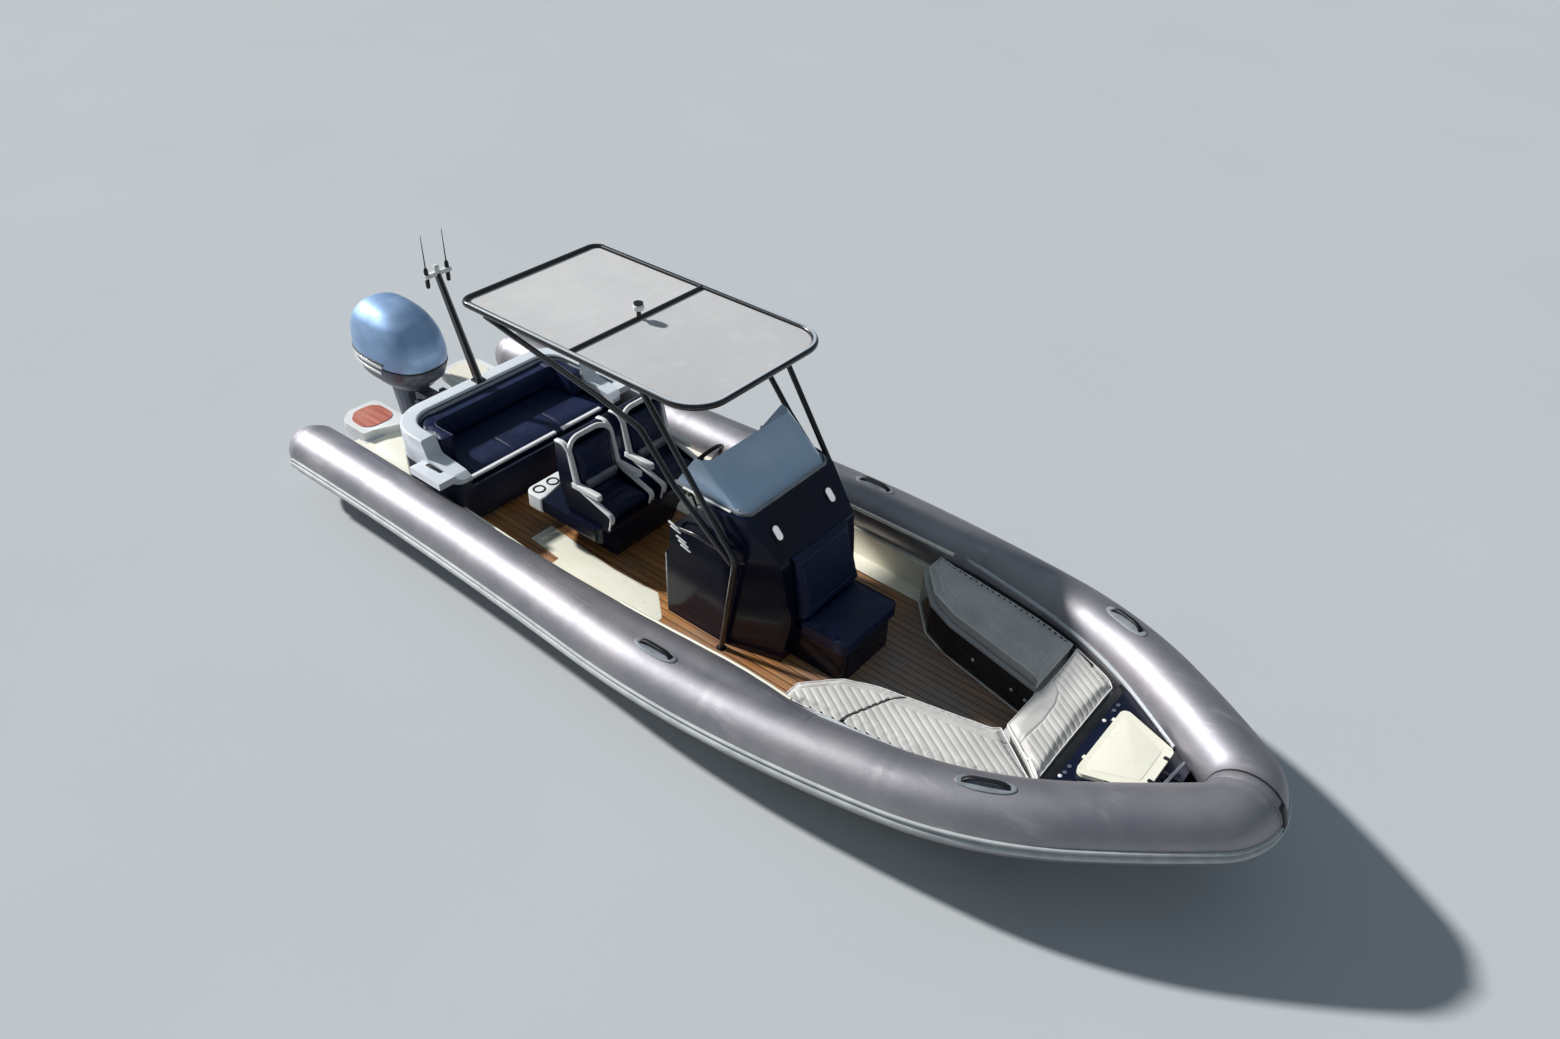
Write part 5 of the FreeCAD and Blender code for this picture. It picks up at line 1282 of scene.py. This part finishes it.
NOTCH = plate(oblong(0.036, 0.030, 0.008, 5), 0.676, 0.6845, 0.002)
CATCH = plate(oblong(0.150, 0.018, 0.006, 5), 0, 0.0085, 0.002)
LID_GRIP = rounded([(6.530, -0.285, 0.03), (6.830, -0.150, 0.03), (6.830, 0.150, 0.03),
                    (6.530, 0.285, 0.03)])
HINGE_CAP = [(0, -0.008), (0.013, -0.007), (0.013, 0.006), (0, 0.008)]
add("lid_catches", joined([
    *(turned(NOTCH, (6.876, y, 0)) for y in (-0.115, 0.115)),
    *(turned(CATCH, (6.735, y, 0.676), (0.94, slant, 0))
      for y, slant in ((-0.270, 0.33), (0.270, -0.33)))]), BLACK, "lid")
add("lid_tread", plate(LID_GRIP, 0.680, 0.6842, 0.001), CREAM, "lid")
add("hinge_caps", both(joined(lathe(HINGE_CAP, 20, (6.447, y, 0.652)) for y in (0.30, 0.36))),
    STEEL)


def bow_welt(height=0.664):
    """a pale moulded welt on the inner side of each tube, level with the cushions and the bow
    deck: where the tube's skin passes its height, centre - out sqrt(R^2 - (height - centre)^2)"""
    centre, out = along_tube(np.linspace(run_at(7.00), run_at(4.98), 150), LINE, OUT)
    reach = np.sqrt(TUBE_RADIUS ** 2 - (height - centre[:, 2:]) ** 2)
    inner = at_height((centre - unit(out * LEVEL) * reach)[:, :2], height)
    return carried(inner, rounded([(-0.012, -0.014, 0.004), (0.024, -0.010, 0.004),
                                   (0.022, 0.008, 0.006), (-0.010, 0.012, 0.004)], 3))


def nose_pad():
    """a dark chafing pad on the nose of the tubes: rows round the tube, 60 mm wide"""
    a = np.radians(np.linspace(-9, 42, 24))[:, None]
    y = np.array([-0.030, -0.029, -0.024, 0.024, 0.029, 0.030])[None, :]
    lift = np.array([-0.002, 0.009, 0.012, 0.012, 0.009, -0.002])[None, :]
    fade = np.clip(np.sin((a - a[0]) / (a[-1] - a[0]) * np.pi) * 6, 0.05, 1)
    radius = TUBE_RADIUS + 0.0035 + lift * fade
    x, z = LINE[0, 0] + radius * np.cos(a), LINE[0, 2] + radius * np.sin(a)
    return np.stack([x, y + 0 * a, z], -1).reshape(-1, 3), capped(24, 6)


def gap_seal(height=0.600):
    """a dark flexible seal under the tubes' inner sides: a flat strip at one height that
    closes the gap to the liner, and a tray between the tubes at the stem"""
    keep = (LINE[:, 0] > 4.75) & (LINE[:, 0] < 7.30)
    inner = at_height((LINE - LEVEL_OUT * 0.215)[keep, :2], height)
    section = [(-0.085, -0.006), (0.03, -0.006), (0.03, 0.006), (-0.085, 0.006)]
    strip = carried(inner, np.array(section))
    bow = (LINE - LEVEL_OUT * 0.165)[LINE[:, 0] > 6.92, :2]
    bow = bow[bow[:, 1] > 0.004]
    tray = plate(np.concatenate([bow, bow[::-1] * [1, -1]]), height - 0.006, height + 0.006, 0.002)
    return joined([both(strip), tray])


def gutter():
    """the dark moulding between the forward cushion and the bow deck, across to the tubes"""
    ends = [(x, float(np.interp(x, *wall_line(-0.052).T))) for x in (6.362, 6.4196)]
    return plate([(x, -y) for x, y in ends] + ends[::-1], 0.5205, 0.628, 0.004)


BUTTON = [(0.0, 0.0), (0.013, 0.0), (0.013, 0.004), (0.009, 0.0065), (0.0, 0.007)]
WELL_FACE = unit(np.array([0.180, 0.800, 0.0]))
add("bow_welts", both(bow_welt()), GREY_WHITE)
add("gap_seals", gap_seal(), BLACK)
add("nose_pad", nose_pad(), BLACK)
add("bow_gutter", gutter(), BLACK)
add("bow_buttons", joined(lathe(BUTTON, 20, (6.438, y, 0.650)) for y in (0.184, -0.399)), WHITE)
add("footwell_fittings", joined(
    turned(lathe(BUTTON, 20), (x, np.interp(x, *FOOTWELL.T) + 0.001, 0.375), (1, 0, 0), -WELL_FACE)
    for x in (5.40, 5.75, 5.87)), WHITE)
add("bow_bar", carried([(6.952, -0.100, 0.704), (6.975, 0.128, 0.704)], circle(0.011, 12)), STEEL)


# Camera, lights and floor

def placed(name, data):
    """an object of its own in the scene"""
    item = bpy.data.objects.new(name, data)
    bpy.context.scene.collection.objects.link(item)
    return item


def camera():
    """the photograph's viewpoint: a level drone view from ahead, to starboard and above"""
    yaw, pitch, roll = (math.radians(turn) for turn in (127.5466, 37.0326, 2.316))
    level = math.cos(pitch)
    forward = Vector((math.cos(yaw) * level, math.sin(yaw) * level, -math.sin(pitch)))
    right = Vector((math.sin(yaw), -math.cos(yaw), 0))
    up = right.cross(forward)
    right, up = (right * math.cos(roll) + up * math.sin(roll),
                 up * math.cos(roll) - right * math.sin(roll))
    data = bpy.data.cameras.new("view")
    data.sensor_fit, data.sensor_width, data.lens = "HORIZONTAL", 36.0, 26.752
    data.clip_end = 200
    item = placed("view", data)
    facing = Matrix((right, up, -forward)).transposed().to_4x4()
    item.matrix_world = Matrix.Translation((7.887, -5.111, 5.957)) @ facing
    bpy.context.scene.camera = item


def lights():
    """a low sun from astern and a little to starboard under an even pale sky"""
    sun = bpy.data.lights.new("sun", "SUN")
    sun.energy, sun.angle = 4.4, 0.06
    height, aside = math.radians(34.5), math.radians(14)
    level = math.cos(height)
    away = Vector((level * math.cos(aside), level * math.sin(aside), -math.sin(height)))
    placed("sun", sun).rotation_euler = away.to_track_quat("-Z", "Y").to_euler()
    world = bpy.data.worlds.new("studio")
    bpy.context.scene.world = world
    world.use_nodes = True
    tree = world.node_tree
    back = tree.nodes["Background"]
    place, split, ramp = (tree.nodes.new("ShaderNode" + kind)
                          for kind in ("TexCoord", "SeparateXYZ", "ValToRGB"))
    tree.links.new(place.outputs["Generated"], split.inputs[0])
    tree.links.new(split.outputs["Z"], ramp.inputs[0])
    ramp.color_ramp.elements[0].color = (0.42, 0.50, 0.60, 1)
    ramp.color_ramp.elements[1].color = (0.68, 0.85, 1.0, 1)
    tree.links.new(ramp.outputs[0], back.inputs["Color"])
    back.inputs["Strength"].default_value = 0.30


def floor(reach=60):
    """a plain pale floor at the waterline, that keeps the boat's shadow"""
    mesh = bpy.data.meshes.new("studio_floor")
    corners = [(x * reach, y * reach, 0) for x, y in ((-1, -1), (1, -1), (1, 1), (-1, 1))]
    mesh.from_pydata(corners, [], [(0, 1, 2, 3)])
    f = Finish("pale_floor", "floor", 0.9, Specular_IOR_Level=0.1)
    f.colour(f.drift((192, 195, 196), (194, 197, 198), 0.3))
    mesh.materials.append(f.material)
    placed("studio_floor", mesh)


camera()
lights()
floor()
bpy.context.scene.view_settings.view_transform = "Standard"
